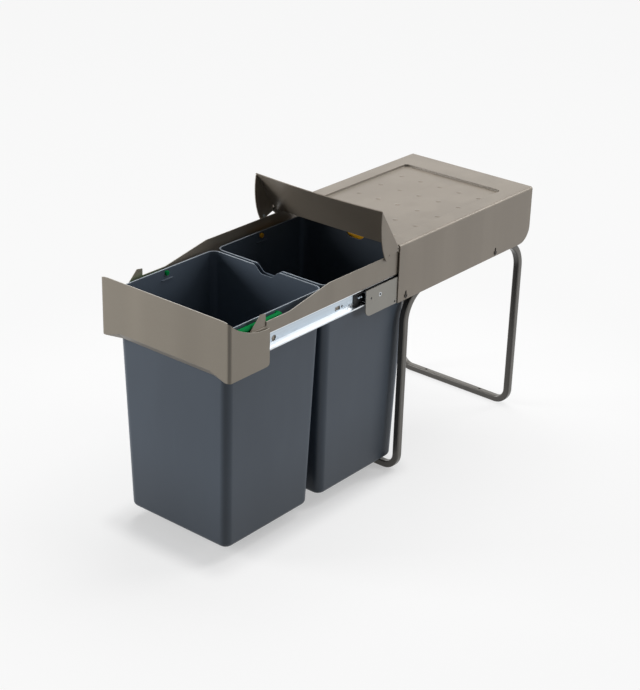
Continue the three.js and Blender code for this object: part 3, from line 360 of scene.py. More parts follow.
class Finish(Nodes):
    """A node material around one surface shader."""

    def __init__(self, name, **constants):
        self.material = bpy.data.materials.new(name)
        self.material.use_nodes = True
        super().__init__(self.material.node_tree)
        self.shader = self.tree.nodes["Principled BSDF"]
        for key, value in constants.items():
            self.shader.inputs[key.replace("_", " ")].default_value = value
        self.place = self.node("ShaderNodeTexCoord").outputs["Object"]

    def noise(self, scale, detail=2.0, roughness=0.5, stretch=(1, 1, 1)):
        spot = self.node("ShaderNodeMapping", None, {"Vector": self.place, "Scale": stretch}).outputs[0]
        return self.tone("ShaderNodeTexNoise", 0, None,
                         {"Vector": spot, "Scale": scale, "Detail": detail, "Roughness": roughness})

    def axis(self, index):
        return self.tone("ShaderNodeSeparateXYZ", index, None, {0: self.place})

    def facing(self, index):
        turned = self.node("ShaderNodeTexCoord").outputs["Normal"]
        return self.tone("ShaderNodeSeparateXYZ", index, None, {0: turned})

    def facing_up(self):
        return self.band(self.facing(2), 0.45, 0.8)

    def band(self, tone, low, high, to_low=0.0, to_high=1.0):
        """Runs smoothly from one value at low to the other at high, whichever of the two is larger."""
        return self.tone("ShaderNodeMapRange", 0, {"clamp": True, "interpolation_type": "SMOOTHSTEP"},
                         {0: tone, 1: low, 2: high, 3: to_low, 4: to_high})

    def between(self, tone, low, rise, fall, high):
        return self.band(tone, low, rise) * self.band(tone, high, fall)

    def beyond(self, tone, low, high):
        """1 past high on either side of the middle plane, 0 within low of it."""
        return self.band(tone, low, high) + self.band(tone, -low, -high)

    def blend(self, factor, first, second):
        made = self.node("ShaderNodeMix", {"data_type": "RGBA"}, {0: factor, 6: first, 7: second})
        return made.outputs[2]

    def feed(self, **links):
        for key, value in links.items():
            socket = value.socket if isinstance(value, Tone) else value
            self.tree.links.new(socket, self.shader.inputs[key.replace("_", " ")])
        return self

    def relief(self, height, strength, distance):
        made = self.node("ShaderNodeBump", None,
                         {"Height": height, "Strength": strength, "Distance": distance})
        return self.feed(Normal=made.outputs[0])


def plain(r, g, b):
    """A colour as a picture shows it, as the shader wants it."""
    def straight(value):
        value = value / 255
        return value / 12.92 if value <= 0.04045 else ((value + 0.055) / 1.055) ** 2.4
    return (straight(r), straight(g), straight(b), 1.0)


def times(colour, share):
    return [channel * share for channel in colour[:3]] + [1]


# noise scales, in features a metre
FLAKES, PEEL, CLOUDS, UPRIGHT_BANDS, RUBBING = 1500, 620, 7, 15, 38
# the near white that upward faces pale towards: a painted highlight
TOP_HIGHLIGHT_TONE = plain(226, 221, 212)


def coat_start(name, base, fleck, metallic):
    """A satin coat's flakes, its slow clouds and the tone that the flakes give it."""
    made = Finish(name, Metallic=metallic, Coat_Weight=0.22, Coat_Roughness=0.22)
    flakes = made.band(made.noise(FLAKES, 2, 0.7), 0.52, 0.72)
    clouds = made.noise(CLOUDS, 3, 0.55)
    return made, flakes, clouds, made.blend(flakes * 0.4, base, fleck)


def coat_end(made, roughness, flakes, clouds, handled):
    made.feed(Roughness=roughness + (clouds - 0.5) * 0.1 + handled * 0.05 + flakes * 0.05)
    made.relief(made.noise(PEEL, 3, 0.6) + flakes * 0.25, 0.14, 0.05 * MM)
    return made.material


def powder_coat(name, base, fleck, metallic, roughness, top_highlight=0, shaded=None, lit=None):
    """Satin powder coat: a faint flake, slow clouding, soft upright bands of painted reflection and a very
    fine peel; also a painted highlight on upward faces, and painted light and painted shade where masks are
    given.
    """
    made, flakes, clouds, shade = coat_start(name, base, fleck, metallic)
    # painted reflection: soft upright bands darken the coat a little, standing in for reflections on a satin
    # sheet
    bands = made.noise(UPRIGHT_BANDS, 2, 0.5, (1, 1, 0.05))
    shade = made.blend(made.band(bands, 0.42, 0.62, 0, 0.6), shade, times(base, 0.86))
    shade = made.blend(made.band(clouds, 0.4, 0.65, 0, 0.5), shade, times(base, 0.93))
    # painted highlight: upward faces pale towards a near white
    if top_highlight:
        shade = made.blend(made.facing_up() * top_highlight, shade, TOP_HIGHLIGHT_TONE)
    # painted light and painted shade, blended in by the masks that are passed in
    if lit:
        shade = made.blend(lit(made), shade, times(base, 4))
    if shaded:
        shade = made.blend(shaded(made), shade, times(base, 0.3))
    made.feed(Base_Color=shade)
    rubbing_and_rim_highlight = made.band(made.noise(RUBBING, 4, 0.6, (1, 0.25, 1)), 0.55, 0.8)
    return coat_end(made, roughness, flakes, clouds, rubbing_and_rim_highlight)


def painted_field_shade(made):
    """Painted shade in the walls of the drawn field, and on the fronts of its dimples."""
    across = made.axis(0)
    inside = made.between(across, -112 * MM, -108 * MM, 108 * MM, 112 * MM)
    rear_wall = made.band(made.facing(1), -0.12, -0.6)
    left_wall = made.band(made.facing(0), 0.2, 0.6) * made.band(across, -95 * MM, -98 * MM)
    return (rear_wall + left_wall) * inside * 0.6


def painted_lid_shade(made):
    """Painted shade on the flap's inner side, deepest to the right."""
    inner = made.band(made.facing(1), -0.3, -0.7)
    return inner * (0.16 + made.band(made.axis(0), -100 * MM, 120 * MM) * 0.4)


def rear_tube_painted_shade(made):
    """Painted shade on the rear tube's front faces, deeper on the legs than on the foot bar."""
    leg = made.band(made.axis(2), 20 * MM, 40 * MM)
    return made.band(made.facing(1), -0.5, -0.9) * (0.05 + leg * 0.35)


def rear_tube_painted_light(made):
    """Painted light on the rear tube's right faces, the foot bar's top and the legs' inner edge."""
    across = made.axis(0)
    right = made.band(made.facing(0), 0.5, 0.9) * made.band(across, 115 * MM, 120 * MM) * 0.14
    top = made.band(made.facing(2), 0.5, 0.9) * made.band(made.axis(2), 20 * MM, 10 * MM) * 0.3
    inner = made.band(made.facing(0), -0.15, -0.5) * made.band(across, 108 * MM, 114 * MM) * 0.4
    return right + top + inner


def panel_coat_painted_light(name, base, fleck, metallic, roughness):
    """The front panel's coat: bands of painted reflection, painted shade at its folds and on the grip strip,
    and a painted highlight on its upward edges.
    """
    made, flakes, clouds, shade = coat_start(name, base, fleck, metallic)
    across = made.axis(0)
    # painted reflection: a paler band on the left half and a darker band on the right half
    pale = made.between(across, -88 * MM, -58 * MM, -58 * MM, -30 * MM)
    deep = made.between(across, 10 * MM, 48 * MM, 55 * MM, 95 * MM)
    shade = made.blend(pale * 0.5, shade, times(base, 1.18))
    shade = made.blend(deep * 0.5, shade, times(base, 0.80))
    # painted shade along the two folds beside the panel's face
    around = made.band(made.axis(1), PANEL_FACE + 5 * MM, PANEL_FACE + 2.5 * MM)
    fold = around * made.beyond(across, 126.5 * MM, 128.5 * MM)
    shade = made.blend(fold * 0.5, shade, times(base, 0.35))
    # painted shade on the grip strip below the crease, fading out to the right
    strip = made.band(made.axis(2), GRIP_CREASE, GRIP_CREASE - 0.8 * MM)
    strip = strip * made.band(across, 50 * MM, -30 * MM) * made.band(across, -100 * MM, -94 * MM)
    shade = made.blend(strip * 0.55, shade, times(base, 0.55))
    shade = made.blend(made.band(clouds, 0.4, 0.65, 0, 0.4), shade, times(base, 0.93))
    # painted highlight: the panel's upward edges pale towards a near white
    made.feed(Base_Color=made.blend(made.facing_up() * 0.7, shade, TOP_HIGHLIGHT_TONE))
    return coat_end(made, roughness, flakes, clouds, strip)


def painted_stud(name):
    """Bright inside the gusset, and under the flap's paint outside it."""
    made = Finish(name, Metallic=0.5)
    head = made.beyond(made.axis(0), 129.2 * MM, 129.6 * MM)
    wear_and_foot_shade = made.noise(900, 3, 0.6)
    bright = made.blend(wear_and_foot_shade, plain(200, 208, 214), plain(222, 228, 232))
    paint = made.blend(wear_and_foot_shade, plain(128, 119, 107), plain(146, 137, 124))
    made.feed(Base_Color=made.blend(head, bright, paint), Roughness=0.34 + wear_and_foot_shade * 0.1)
    return made.material


def socketed_zinc(name):
    """Zinc on a screw's head, rougher and with painted shade down in the socket."""
    made = Finish(name, Metallic=0.8)
    wear_and_foot_shade = made.noise(700, 3, 0.6)
    # painted shade: the socket darkens almost to black
    deep = made.between(made.axis(0), -128.9 * MM, -128.6 * MM, 128.6 * MM, 128.9 * MM)
    bright = made.blend(wear_and_foot_shade, plain(205, 212, 218), plain(228, 232, 236))
    made.feed(Base_Color=made.blend(deep * 0.9, bright, plain(30, 30, 32)))
    made.feed(Roughness=0.28 + wear_and_foot_shade * 0.1 + deep * 0.3)
    return made.material


def zinc_plate(name):
    """Bright zinc on rolled strip: fine drawing lines, a cool cast, painted light on the roll and lip, and a
    painted shade line where the web turns into the roll.
    """
    made = Finish(name, Metallic=0.85)
    lines = made.noise(240, 3, 0.6, (1, 0.01, 1))
    clouds = made.noise(16, 3, 0.6, (1, 0.3, 1))
    height = made.axis(2)
    soft, wide = 0.4 * MM, 0.7 * MM
    # painted light: the roll and the lip are paler than the web
    lower = 1 - made.band(height, ROLL_MARK - soft, ROLL_MARK + soft)
    lower = lower + made.band(height, LIP_MARK - soft, LIP_MARK + soft)
    # painted shade: a thin dark line where the web turns into the roll
    painted_groove_shade = made.between(height, ROLL_MARK - wide, ROLL_MARK, ROLL_MARK, ROLL_MARK + wide)
    drawn = made.band(lines, 0.35, 0.7)
    upper_tone = made.blend(drawn, plain(190, 203, 214), plain(200, 212, 222))
    painted_light_tone = made.blend(drawn, plain(232, 237, 241), plain(240, 243, 246))
    tone = made.blend(lower, upper_tone, painted_light_tone)
    tone = made.blend(painted_groove_shade * 0.5, tone, plain(150, 160, 170))
    made.feed(Base_Color=made.blend(made.band(clouds, 0.5, 0.75, 0, 0.3), tone, plain(190, 200, 210)))
    made.feed(Roughness=0.3 + (lines - 0.5) * 0.12 + (clouds - 0.5) * 0.1 + lower * 0.06)
    made.relief(lines, 0.06, 0.03 * MM)
    return made.material


def moulded(name, base, light, roughness, grain, grain_size, sheen=0.5, rim=None, foot=None, back=None):
    """Moulded plastic: fine grain, faint flow marks and scuffs, a painted highlight on the rim, and painted
    shade towards the foot and on the inner back wall.
    """
    made = Finish(name, Specular_IOR_Level=sheen)
    flow = made.noise(9, 3, 0.55, (1, 1, 0.3))
    scuff = made.band(made.noise(70, 5, 0.65, (1, 1, 0.12)), 0.6, 0.78)
    tone = made.blend(made.band(flow, 0.35, 0.7), base, times(base, 0.9))
    tone = made.blend(scuff * 0.16, tone, light)
    rough = roughness + (flow - 0.5) * 0.08 + scuff * 0.06
    if rim:
        # painted highlight along the rim's top
        rubbing_and_rim_highlight = made.band(made.axis(2), rim - 1.0 * MM, rim - 0.3 * MM)
        tone = made.blend(rubbing_and_rim_highlight * 0.75, tone, plain(178, 188, 198))
        rough = rough - rubbing_and_rim_highlight * 0.16
    if foot:
        # painted shade: darker towards the foot
        wear_and_foot_shade = made.band(made.axis(2), foot, foot + 150 * MM, 1, 0)
        tone = made.blend(wear_and_foot_shade * 0.42, tone, times(base, 0.1))
    if back:
        # painted shade on the inner back wall
        painted_back_shade = made.band(made.facing(1), -0.5, -0.9) * made.band(made.axis(1), back - 20 * MM, back - 10 * MM)
        tone = made.blend(painted_back_shade * 0.65, tone, times(base, 0.2))
    made.feed(Base_Color=tone, Roughness=rough)
    made.relief(made.noise(grain_size, 3, 0.55), grain, 0.06 * MM)
    return made.material


COAT = plain(147, 137, 124), plain(172, 163, 150), 0.2, 0.4
TAUPE = powder_coat("taupe_powder_coat", *COAT)
# painted shade in the drawn field's walls and on its dimples' fronts
COVER_TAUPE = powder_coat("cover_powder_coat", *COAT, shaded=painted_field_shade)
# painted shade on the flap's inner side
FLAP_TAUPE = powder_coat("flap_powder_coat", *COAT, shaded=painted_lid_shade)
# the front panel: painted reflection, painted shade and a painted highlight
PANEL_TAUPE = panel_coat_painted_light("panel_powder_coat", plain(150, 141, 127), plain(176, 168, 154), 0.2, 0.4)
# the rail's upward faces carry a painted highlight
RAIL_TAUPE = powder_coat("rail_powder_coat", plain(150, 141, 128), plain(174, 166, 153), 0.2, 0.4,
                         top_highlight=0.6)
STAND_TAUPE = powder_coat("stand_powder_coat", plain(98, 95, 89), plain(122, 117, 110), 0.3, 0.3)
# the rear tube: a darker copy of the stand paint, with painted shade on its front faces and painted light on
# its right faces, foot bar top and legs' inner edges
REAR_STAND = powder_coat("rear_stand_powder_coat", plain(84, 81, 76), plain(108, 103, 97), 0.3, 0.3,
                         shaded=rear_tube_painted_shade, lit=rear_tube_painted_light)
BRACKET_GREY = powder_coat("bracket_coat", plain(157, 154, 146), plain(182, 178, 170), 0.3, 0.36)
SCREW_BLACK = powder_coat("screw_blackening", plain(60, 55, 50), plain(92, 86, 80), 0.6, 0.4)
ZINC = zinc_plate("bright_zinc")
SOCKET_ZINC = socketed_zinc("socket_zinc")
STUD = painted_stud("stud_finish")
CAGE_BLACK = moulded("cage_black", plain(26, 27, 30), plain(58, 60, 64), 0.42, 0.2, 900, 0.4)
BIN_GREY = plain(83, 94, 107), plain(98, 110, 123), 0.4, 0.3, 700, 0.4
SLATE = moulded("bin_slate", *BIN_GREY, rim=BIN_TOP, foot=15 * MM)
# the rear bin: the bin plastic with painted shade on its inner back wall
REAR_SLATE = moulded("rear_bin_slate", *BIN_GREY, rim=BIN_TOP, foot=15 * MM, back=60 * MM)
GREEN = moulded("handle_green", plain(0, 132, 66), plain(4, 150, 84), 0.5, 0.12, 500, 0.05)
YELLOW = moulded("handle_yellow", plain(226, 164, 14), plain(240, 190, 60), 0.45, 0.12, 500, 0.22)

FINISH_OF_SLOT = {
    "paint": TAUPE,
    "stand_paint": STAND_TAUPE,
    "screw": SCREW_BLACK,
    "zinc": ZINC,
    "cage": CAGE_BLACK,
    "bin": SLATE,
    "green": GREEN,
    "yellow": YELLOW,
}
SLOT_OF_NODE = {row["node"]: row["material_slot"] for row in frame["record"]["subparts"]}
BODY_OF_NODE = {n: body for body, members in frame["record"]["behaviour"]["bodies"].items() for n in members}
dressed = set()


def dress(node, piece=None, finish=None):
    """Puts the piece, or else a finished copy, in the place of a frame node."""
    slot = SLOT_OF_NODE[node]
    dressed.add(node)
    return place(piece or finished_copy(node), BODY_OF_NODE[node], finish or FINISH_OF_SLOT[slot], slot, node)


# ------------------------------------------------------------------ shaping helpers
def near(a, b, within=0.02 * MM):
    return abs(a - b) < within


def edge_in(axis, value):
    """True for an edge both of whose ends lie at the value on the axis."""
    return lambda a, b: near(a[axis], value) and near(b[axis], value)


def bevel_edges(piece, test, offset, segments):
    select_parts(piece, "edges", test)
    bpy.ops.mesh.bevel(offset=offset, segments=segments, profile=0.5, affect="EDGES")
    return leave_edit(piece)


def bevel_corners(piece, test, offset, segments):
    select_parts(piece, "vertices", test)
    bpy.ops.mesh.bevel(offset=offset, segments=segments, profile=0.5, affect="VERTICES")
    return leave_edit(piece)


def drop_faces(piece, test, kind="FACE"):
    select_parts(piece, "polygons", test)
    bpy.ops.mesh.delete(type=kind)
    return leave_edit(piece)


def cut_across(piece, axis, places):
    normal = [0, 0, 0]
    normal[axis] = 1
    pick(piece)
    bpy.ops.object.mode_set(mode="EDIT")
    for at in places:
        spot = [0, 0, 0]
        spot[axis] = at
        bpy.ops.mesh.select_all(action="SELECT")
        bpy.ops.mesh.bisect(plane_co=spot, plane_no=normal)
    return leave_edit(piece)


def merge_into(first, *others):
    deselect()
    for other in others:
        other.select_set(True)
    first.select_set(True)
    bpy.context.view_layer.objects.active = first
    bpy.ops.object.join()
    return first


def wavy_cutter(name, low, high, axis, profile):
    """A block whose underside follows the profile, a list of [place, height] along the axis."""
    tool = block(name, low, high)
    cut_across(tool, axis, [place for place, _ in profile[1:-1]])
    for place_at, height in profile:
        select_parts(tool, "vertices", lambda v: near(v[axis], place_at) and near(v.z, low[2]))
        bpy.ops.transform.translate(value=(0, 0, height - low[2]))
        leave_edit(tool)
    return tool


def across_bar(name, x0, x1, y, z, radius, sides=24):
    deselect()
    bpy.ops.mesh.primitive_cylinder_add(vertices=sides, radius=radius, depth=x1 - x0,
                                        location=((x0 + x1) / 2, y, z), rotation=(0, pi / 2, 0))
    made = bpy.context.object
    made.name = made.data.name = name
    return settle(made)


def bezier(p0, p1, p2, p3, steps):
    made = []
    for k in range(steps + 1):
        t = k / steps
        a, b, c, d = (1 - t) ** 3, 3 * (1 - t) ** 2 * t, 3 * (1 - t) * t ** 2, t ** 3
        made.append([a * p0[i] + b * p1[i] + c * p2[i] + d * p3[i] for i in (0, 1)])
    return made


def turn_outwards(piece, probe):
    """Makes the faces of an open sheet agree, the first face that the probe finds pointing up its normal."""
    pick(piece)
    bpy.ops.object.mode_set(mode="EDIT")
    bpy.ops.mesh.select_all(action="SELECT")
    bpy.ops.mesh.normals_make_consistent(inside=False)
    bpy.ops.object.mode_set(mode="OBJECT")
    for face in piece.data.polygons:
        wanted = probe(face.center)
        if wanted is not None:
            if face.normal.dot(Vector(wanted)) < 0:
                bpy.ops.object.mode_set(mode="EDIT")
                bpy.ops.mesh.flip_normals()
                bpy.ops.object.mode_set(mode="OBJECT")
            break
    return piece


def thicken(piece, thickness):
    return modifier(piece, "SOLIDIFY", thickness=thickness, offset=-1, use_even_offset=True,
                    use_quality_normals=True, use_rim=True)


# ------------------------------------------------------------------ cover
def drawn_dimple(name, x, y, z):
    deselect()
    bpy.ops.mesh.primitive_circle_add(vertices=16, radius=DIMPLE, fill_type="NGON", location=(x, y, z))
    made = bpy.context.object
    made.name = made.data.name = name
    settle(made)
    bpy.ops.object.mode_set(mode="EDIT")
    bpy.ops.mesh.select_all(action="SELECT")
    for width, rise in DIMPLE_STEPS:
        bpy.ops.mesh.inset(thickness=width * MM, depth=rise * MM)
    return leave_edit(made)


def drawn_field():
    deselect()
    bpy.ops.mesh.primitive_plane_add(size=1, location=(0, (FIELD_FRONT + FIELD_BACK) / 2, TOP))
    field = bpy.context.object
    field.name = field.data.name = "cover_field"
    field.scale = (2 * FIELD_HALF, FIELD_BACK - FIELD_FRONT, 1)
    settle(field)
    bevel_corners(field, lambda v: True, FIELD_ROUND, 8)
    pick(field)
    bpy.ops.object.mode_set(mode="EDIT")
    bpy.ops.mesh.select_all(action="SELECT")
    for width, drop in FIELD_STEPS:
        bpy.ops.mesh.inset(thickness=width * MM, depth=-drop * MM)
    bpy.ops.mesh.delete(type="ONLY_FACE")
    return leave_edit(field)


def fill_loops(piece, z):
    """Fills the flat that the open edges at this height bound."""
    mesh = piece.data
    uses = {}
    for face in mesh.polygons:
        for key in face.edge_keys:
            uses[key] = uses.get(key, 0) + 1
    open_edges = {edge.key for edge in mesh.edges if uses.get(edge.key, 0) < 2}
    select_parts(piece, "edges", lambda a, b: False)
    bpy.ops.object.mode_set(mode="OBJECT")
    for edge in mesh.edges:
        ends = [mesh.vertices[i].co for i in edge.vertices]
        edge.select = edge.key in open_edges and all(near(end.z, z) for end in ends)
    bpy.ops.object.mode_set(mode="EDIT")
    bpy.ops.mesh.fill(use_beauty=True)
    return leave_edit(piece)


def folded_cover():
    sheet = block("cover_sheet", (-HALF, COVER_FRONT, SKIRT_FOOT), (HALF, COVER_BACK, TOP))
    drop_faces(sheet, lambda c, n: abs(n.y) > 0.9 or n.z < -0.9)
    bevel_edges(sheet, lambda a, b: near(a.z, TOP) and near(b.z, TOP) and near(a.x, b.x), FOLD, 6)
    bevel_corners(sheet, lambda v: near(v.y, COVER_BACK) and near(v.z, SKIRT_FOOT), SKIRT_ROUND, 12)
    drop_faces(sheet, lambda c, n: n.z > 0.999, "ONLY_FACE")

    field_floor = TOP - sum(drop for _, drop in FIELD_STEPS) * MM
    dimples = []
    for row in range(DIMPLE_ROWS):
        for column in range(DIMPLE_ROWS):
            x = -FIELD_HALF + (DIMPLE_FIRST[0] + DIMPLE_PITCH[0] * column) * MM
            y = FIELD_FRONT + (DIMPLE_FIRST[1] + DIMPLE_PITCH[1] * row) * MM
            dimples.append(drawn_dimple(f"dimple_{row}_{column}", x, y, field_floor))
    merge_into(sheet, drawn_field(), *dimples)
    clean(sheet)
    fill_loops(sheet, TOP)
    fill_loops(sheet, field_floor)
    turn_outwards(sheet, lambda c: (0, 0, 1) if near(c.z, TOP) else None)
    thicken(sheet, SHEET)
    slots = []
    for index, y in enumerate(SLOT_PLACES):
        slot = block(f"slot_{index}", (-HALF - 5 * MM, y - SLOT_HALF, SLOT_Z - SLOT_BELOW),
                     (HALF + 5 * MM, y + SLOT_HALF, SLOT_Z + SLOT_ABOVE))
        bevel_edges(slot, lambda a, b: abs(a.x - b.x) > 0.01, SLOT_ROUND, 5)
        slots.append(slot)
    carve(sheet, *slots)
    return soften(sheet, 0.3 * MM, 2, 40)


# ------------------------------------------------------------------ front panel
def folded_panel():
    sheet = block("panel_sheet", (-HALF, PANEL_FACE, PANEL_FOOT), (HALF, TAB_END, PANEL_TOP))
    drop_faces(sheet, lambda c, n: abs(n.z) > 0.9 or n.y > 0.9)
    bevel_edges(sheet, lambda a, b: near(a.x, b.x) and near(a.y, PANEL_FACE) and near(b.y, PANEL_FACE),
                PANEL_FOLD, 8)
    bevel_corners(sheet, lambda v: near(v.y, TAB_END) and near(v.z, PANEL_FOOT), 6 * MM, 6)
    cut_across(sheet, 0, [-GRIP_RUN_OUT, -GRIP_REACH, GRIP_REACH, GRIP_RUN_OUT])
    select_parts(sheet, "polygons", lambda c, n: n.y < -0.9)
    bpy.ops.mesh.bisect(plane_co=(0, 0, GRIP_CREASE), plane_no=(0, 0, 1))
    leave_edit(sheet)
    select_parts(sheet, "vertices", lambda v: near(v.z, PANEL_FOOT) and abs(v.x) < GRIP_REACH + MM
                 and near(v.y, PANEL_FACE))
    bpy.ops.transform.translate(value=(0, GRIP_DEPTH, 0))
    leave_edit(sheet)
    for side in (-1, 1):
        select_parts(sheet, "vertices", lambda v: (near(v.x, side * GRIP_REACH) and near(v.z, GRIP_CREASE))
                     or (near(v.x, side * GRIP_RUN_OUT) and near(v.z, PANEL_FOOT)))
        bpy.ops.mesh.vert_connect_path()
        leave_edit(sheet)
    bevel_edges(sheet, lambda a, b: near(a.z, GRIP_CREASE) and near(b.z, GRIP_CREASE)
                and max(abs(a.x), abs(b.x)) < GRIP_REACH + MM, 1.2 * MM, 4)
    turn_outwards(sheet, lambda c: (0, -1, 0) if near(c.y, PANEL_FACE) and c.z > 0.36 else None)
    thicken(sheet, SHEET)

    profile = [[COVER_FRONT + y * MM, z * MM] for y, z in bezier(*SWOOP, 16)]
    profile.append([TAB_END + 5 * MM, SWOOP[-1][1] * MM])
    profile[0][0] -= 2 * MM
    tabs = []
    for side in (-1, 1):
        inner, outer = sorted((side * (HALF - PANEL_FOLD), side * (HALF + 5 * MM)))
        low, high = (inner, profile[0][0], SWOOP_CUT[0]), (outer, profile[-1][0], SWOOP_CUT[1])
        tabs.append(wavy_cutter(f"swoop_{side}", low, high, 1, profile))
    carve(sheet, *tabs)
    eased = []
    for side in (-1, 1):
        marks = sorted([side * (HALF - run * MM), PANEL_TOP - drop * MM] for run, drop in TOP_EASE)
        low = (marks[0][0], PANEL_FACE - 2 * MM, EASE_CUT[0])
        high = (marks[-1][0], PANEL_FACE + 4 * MM, EASE_CUT[1])
        eased.append(wavy_cutter(f"ease_{side}", low, high, 0, marks))
    carve(sheet, *eased)
    return soften(sheet, 0.3 * MM, 2, 40)


# ------------------------------------------------------------------ bins
def tapered_block(name, half, front, length, foot, top, lean):
    made = block(name, (-half, front, foot), (half, front + length, top))
    shift = lean * (top - foot)
    select_parts(made, "vertices", lambda v: near(v.z, foot))
    bpy.ops.transform.resize(value=(1 - shift / half, 1 - 2 * shift / length, 1),
                             center_override=(0, front + length / 2, foot))
    return leave_edit(made)


def rounded_tub(name, half, front, length, foot, top, corner, heel):
    made = tapered_block(name, half, front, length, foot, top, BIN_LEAN)
    bevel_edges(made, lambda a, b: abs(a.z - b.z) > 0.1, corner, 8)
    bevel_edges(made, edge_in(2, foot), heel, 6)
    return made


def scoop_profile():
    marks = [[-SCOOP_HALF - 2 * MM, BIN_TOP + 0.3 * MM]]
    steps = 9
    for k in range(steps + 1):
        t = k / steps
        drop = SCOOP_DEPTH * t * t * (3 - 2 * t)
        marks.append([-SCOOP_HALF + (SCOOP_HALF - SCOOP_FLAT) * t, BIN_TOP - drop + 0.01 * MM])
    return marks + [[-x, z] for x, z in reversed(marks)]


def bin_tub(name, front):
    half, length = BIN_HALF, BIN_LENGTH
    middle = front + length / 2
    tub = rounded_tub(name, half, front, length, BIN_FOOT, BIN_TOP, BIN_CORNER, BIN_HEEL)
    collar = block("collar", (-COLLAR_HALF, front - COLLAR_REACH, COLLAR_LOW),
                   (COLLAR_HALF, front + length + COLLAR_REACH, COLLAR_HIGH))
    bevel_edges(collar, lambda a, b: near(a.x, b.x) and near(a.y, b.y), COLLAR_ROUND, 8)
    extra = 6 * MM  # the hollow's cutter stands above the rim
    grow = BIN_LEAN * extra
    inner_foot = BIN_FOOT + BIN_FLOOR
    hollow = rounded_tub("hollow", half - BIN_WALL + grow, front + BIN_WALL - grow,
                         length - 2 * BIN_WALL + 2 * grow, inner_foot, BIN_TOP + extra,
                         BIN_CORNER - BIN_WALL, BIN_HEEL - BIN_WALL)
    carve(tub, collar, operation="UNION")
    carve(tub, hollow)
    ledges = []
    inner = half - BIN_LEAN * LEDGE_DOWN - BIN_WALL
    for side in (-1, 1):
        low, high = sorted((side * (inner - LEDGE_REACH), side * (inner + 1 * MM)))
        ledges.append(block(f"ledge_{side}", (low, middle - LEDGE_HALF, LEDGE_LOW),
                            (high, middle + LEDGE_HALF, LEDGE_HIGH)))
    carve(tub, *ledges, operation="UNION")
    opening = block("window", (-PAST_SIDES, middle - WINDOW, HANDLE_Z - WINDOW),
                    (PAST_SIDES, middle + WINDOW, HANDLE_Z + WINDOW))
    bevel_edges(opening, lambda a, b: abs(a.x - b.x) > 0.01, 0.8 * MM, 3)
    scoops = []
    for y in (front, front + length):
        marks = scoop_profile()
        low, high = (marks[0][0], y - 7 * MM, SCOOP_CUT[0]), (marks[-1][0], y + 7 * MM, SCOOP_CUT[1])
        scoops.append(wavy_cutter("scoop", low, high, 0, marks))
    carve(tub, opening, *scoops)
    return soften(tub, 0.55 * MM, 3, 40)


# ------------------------------------------------------------------ bails
def run_loop(piece, test, moves):
    """Draws the open loop that the test finds along straight runs and bends."""
    select_parts(piece, "edges", test)
    for kind, *how in moves:
        if kind == "run":
            bpy.ops.mesh.extrude_region_move(TRANSFORM_OT_translate={"value": how[0]})
        else:
            centre, axis, angle, steps = how
            bpy.ops.mesh.spin(steps=steps, angle=-angle, center=centre, axis=axis)
    return leave_edit(piece)


def bail_rod(name, front, towards, thick, rod_z):
    arm_x = BIN_HALF + thick / 2 + ROD_GAP
    middle = front + BIN_LENGTH / 2
    bar_y = middle + towards * (BIN_LENGTH / 2 + thick / 2 + ROD_GAP)
    bend = BIN_CORNER + thick / 2 + ROD_GAP
    deselect()
    bpy.ops.mesh.primitive_circle_add(vertices=20, radius=thick / 2, location=(arm_x, middle, rod_z),
                                      rotation=(pi / 2, 0, 0))
    rod = bpy.context.object
    rod.name = rod.data.name = name
    settle(rod)
    turn_at = bar_y - towards * bend
    run_loop(rod, lambda a, b: True, [
        ("run", (0, turn_at - middle, 0)),
        ("bend", (arm_x - bend, turn_at, rod_z), (0, 0, 1), towards * pi / 2, 8),
        ("run", (-(arm_x - bend), 0, 0)),
    ])
    # the round nose at the pivot
    select_parts(rod, "edges", lambda a, b: near(a.y, middle) and near(b.y, middle))
    for k in range(1, 5):
        angle = k * pi / 10
        bpy.ops.mesh.extrude_region_move(TRANSFORM_OT_translate={
            "value": (0, -towards * thick / 2 * (sin(angle) - sin(angle - pi / 10)), 0)})
        shrink = cos(angle) / cos(angle - pi / 10)
        bpy.ops.transform.resize(value=(shrink, 1, shrink), center_override=(arm_x, middle, rod_z))
    bpy.ops.mesh.edge_face_add()
    leave_edit(rod)
    modifier(rod, "MIRROR", use_axis=(True, False, False), merge_threshold=0.02 * MM)
    clean(rod, outwards=True)
    buttons = []
    for side in (-1, 1):
        low, high = sorted((side * (BIN_HALF - BUTTON_REACH), side * arm_x))
        button = across_bar("button", low, high, middle, HANDLE_Z, BUTTON, 28)
        bevel_edges(button, edge_in(0, side * (BIN_HALF - BUTTON_REACH)), 1.4 * MM, 4)
        buttons.append(button)
    thumb_foot = HANDLE_Z - THUMB_DROP
    thumb = block("thumb", (-THUMB_HALF, bar_y - THUMB_THICK / 2, thumb_foot),
                  (THUMB_HALF, bar_y + THUMB_THICK / 2, HANDLE_Z))
    bevel_edges(thumb, lambda a, b: near(a.x, b.x) and near(a.z, b.z) and near(a.z, thumb_foot), 5 * MM, 6)
    carve(rod, thumb, *buttons, operation="UNION")
    return soften(rod, 0.4 * MM, 2, 50)


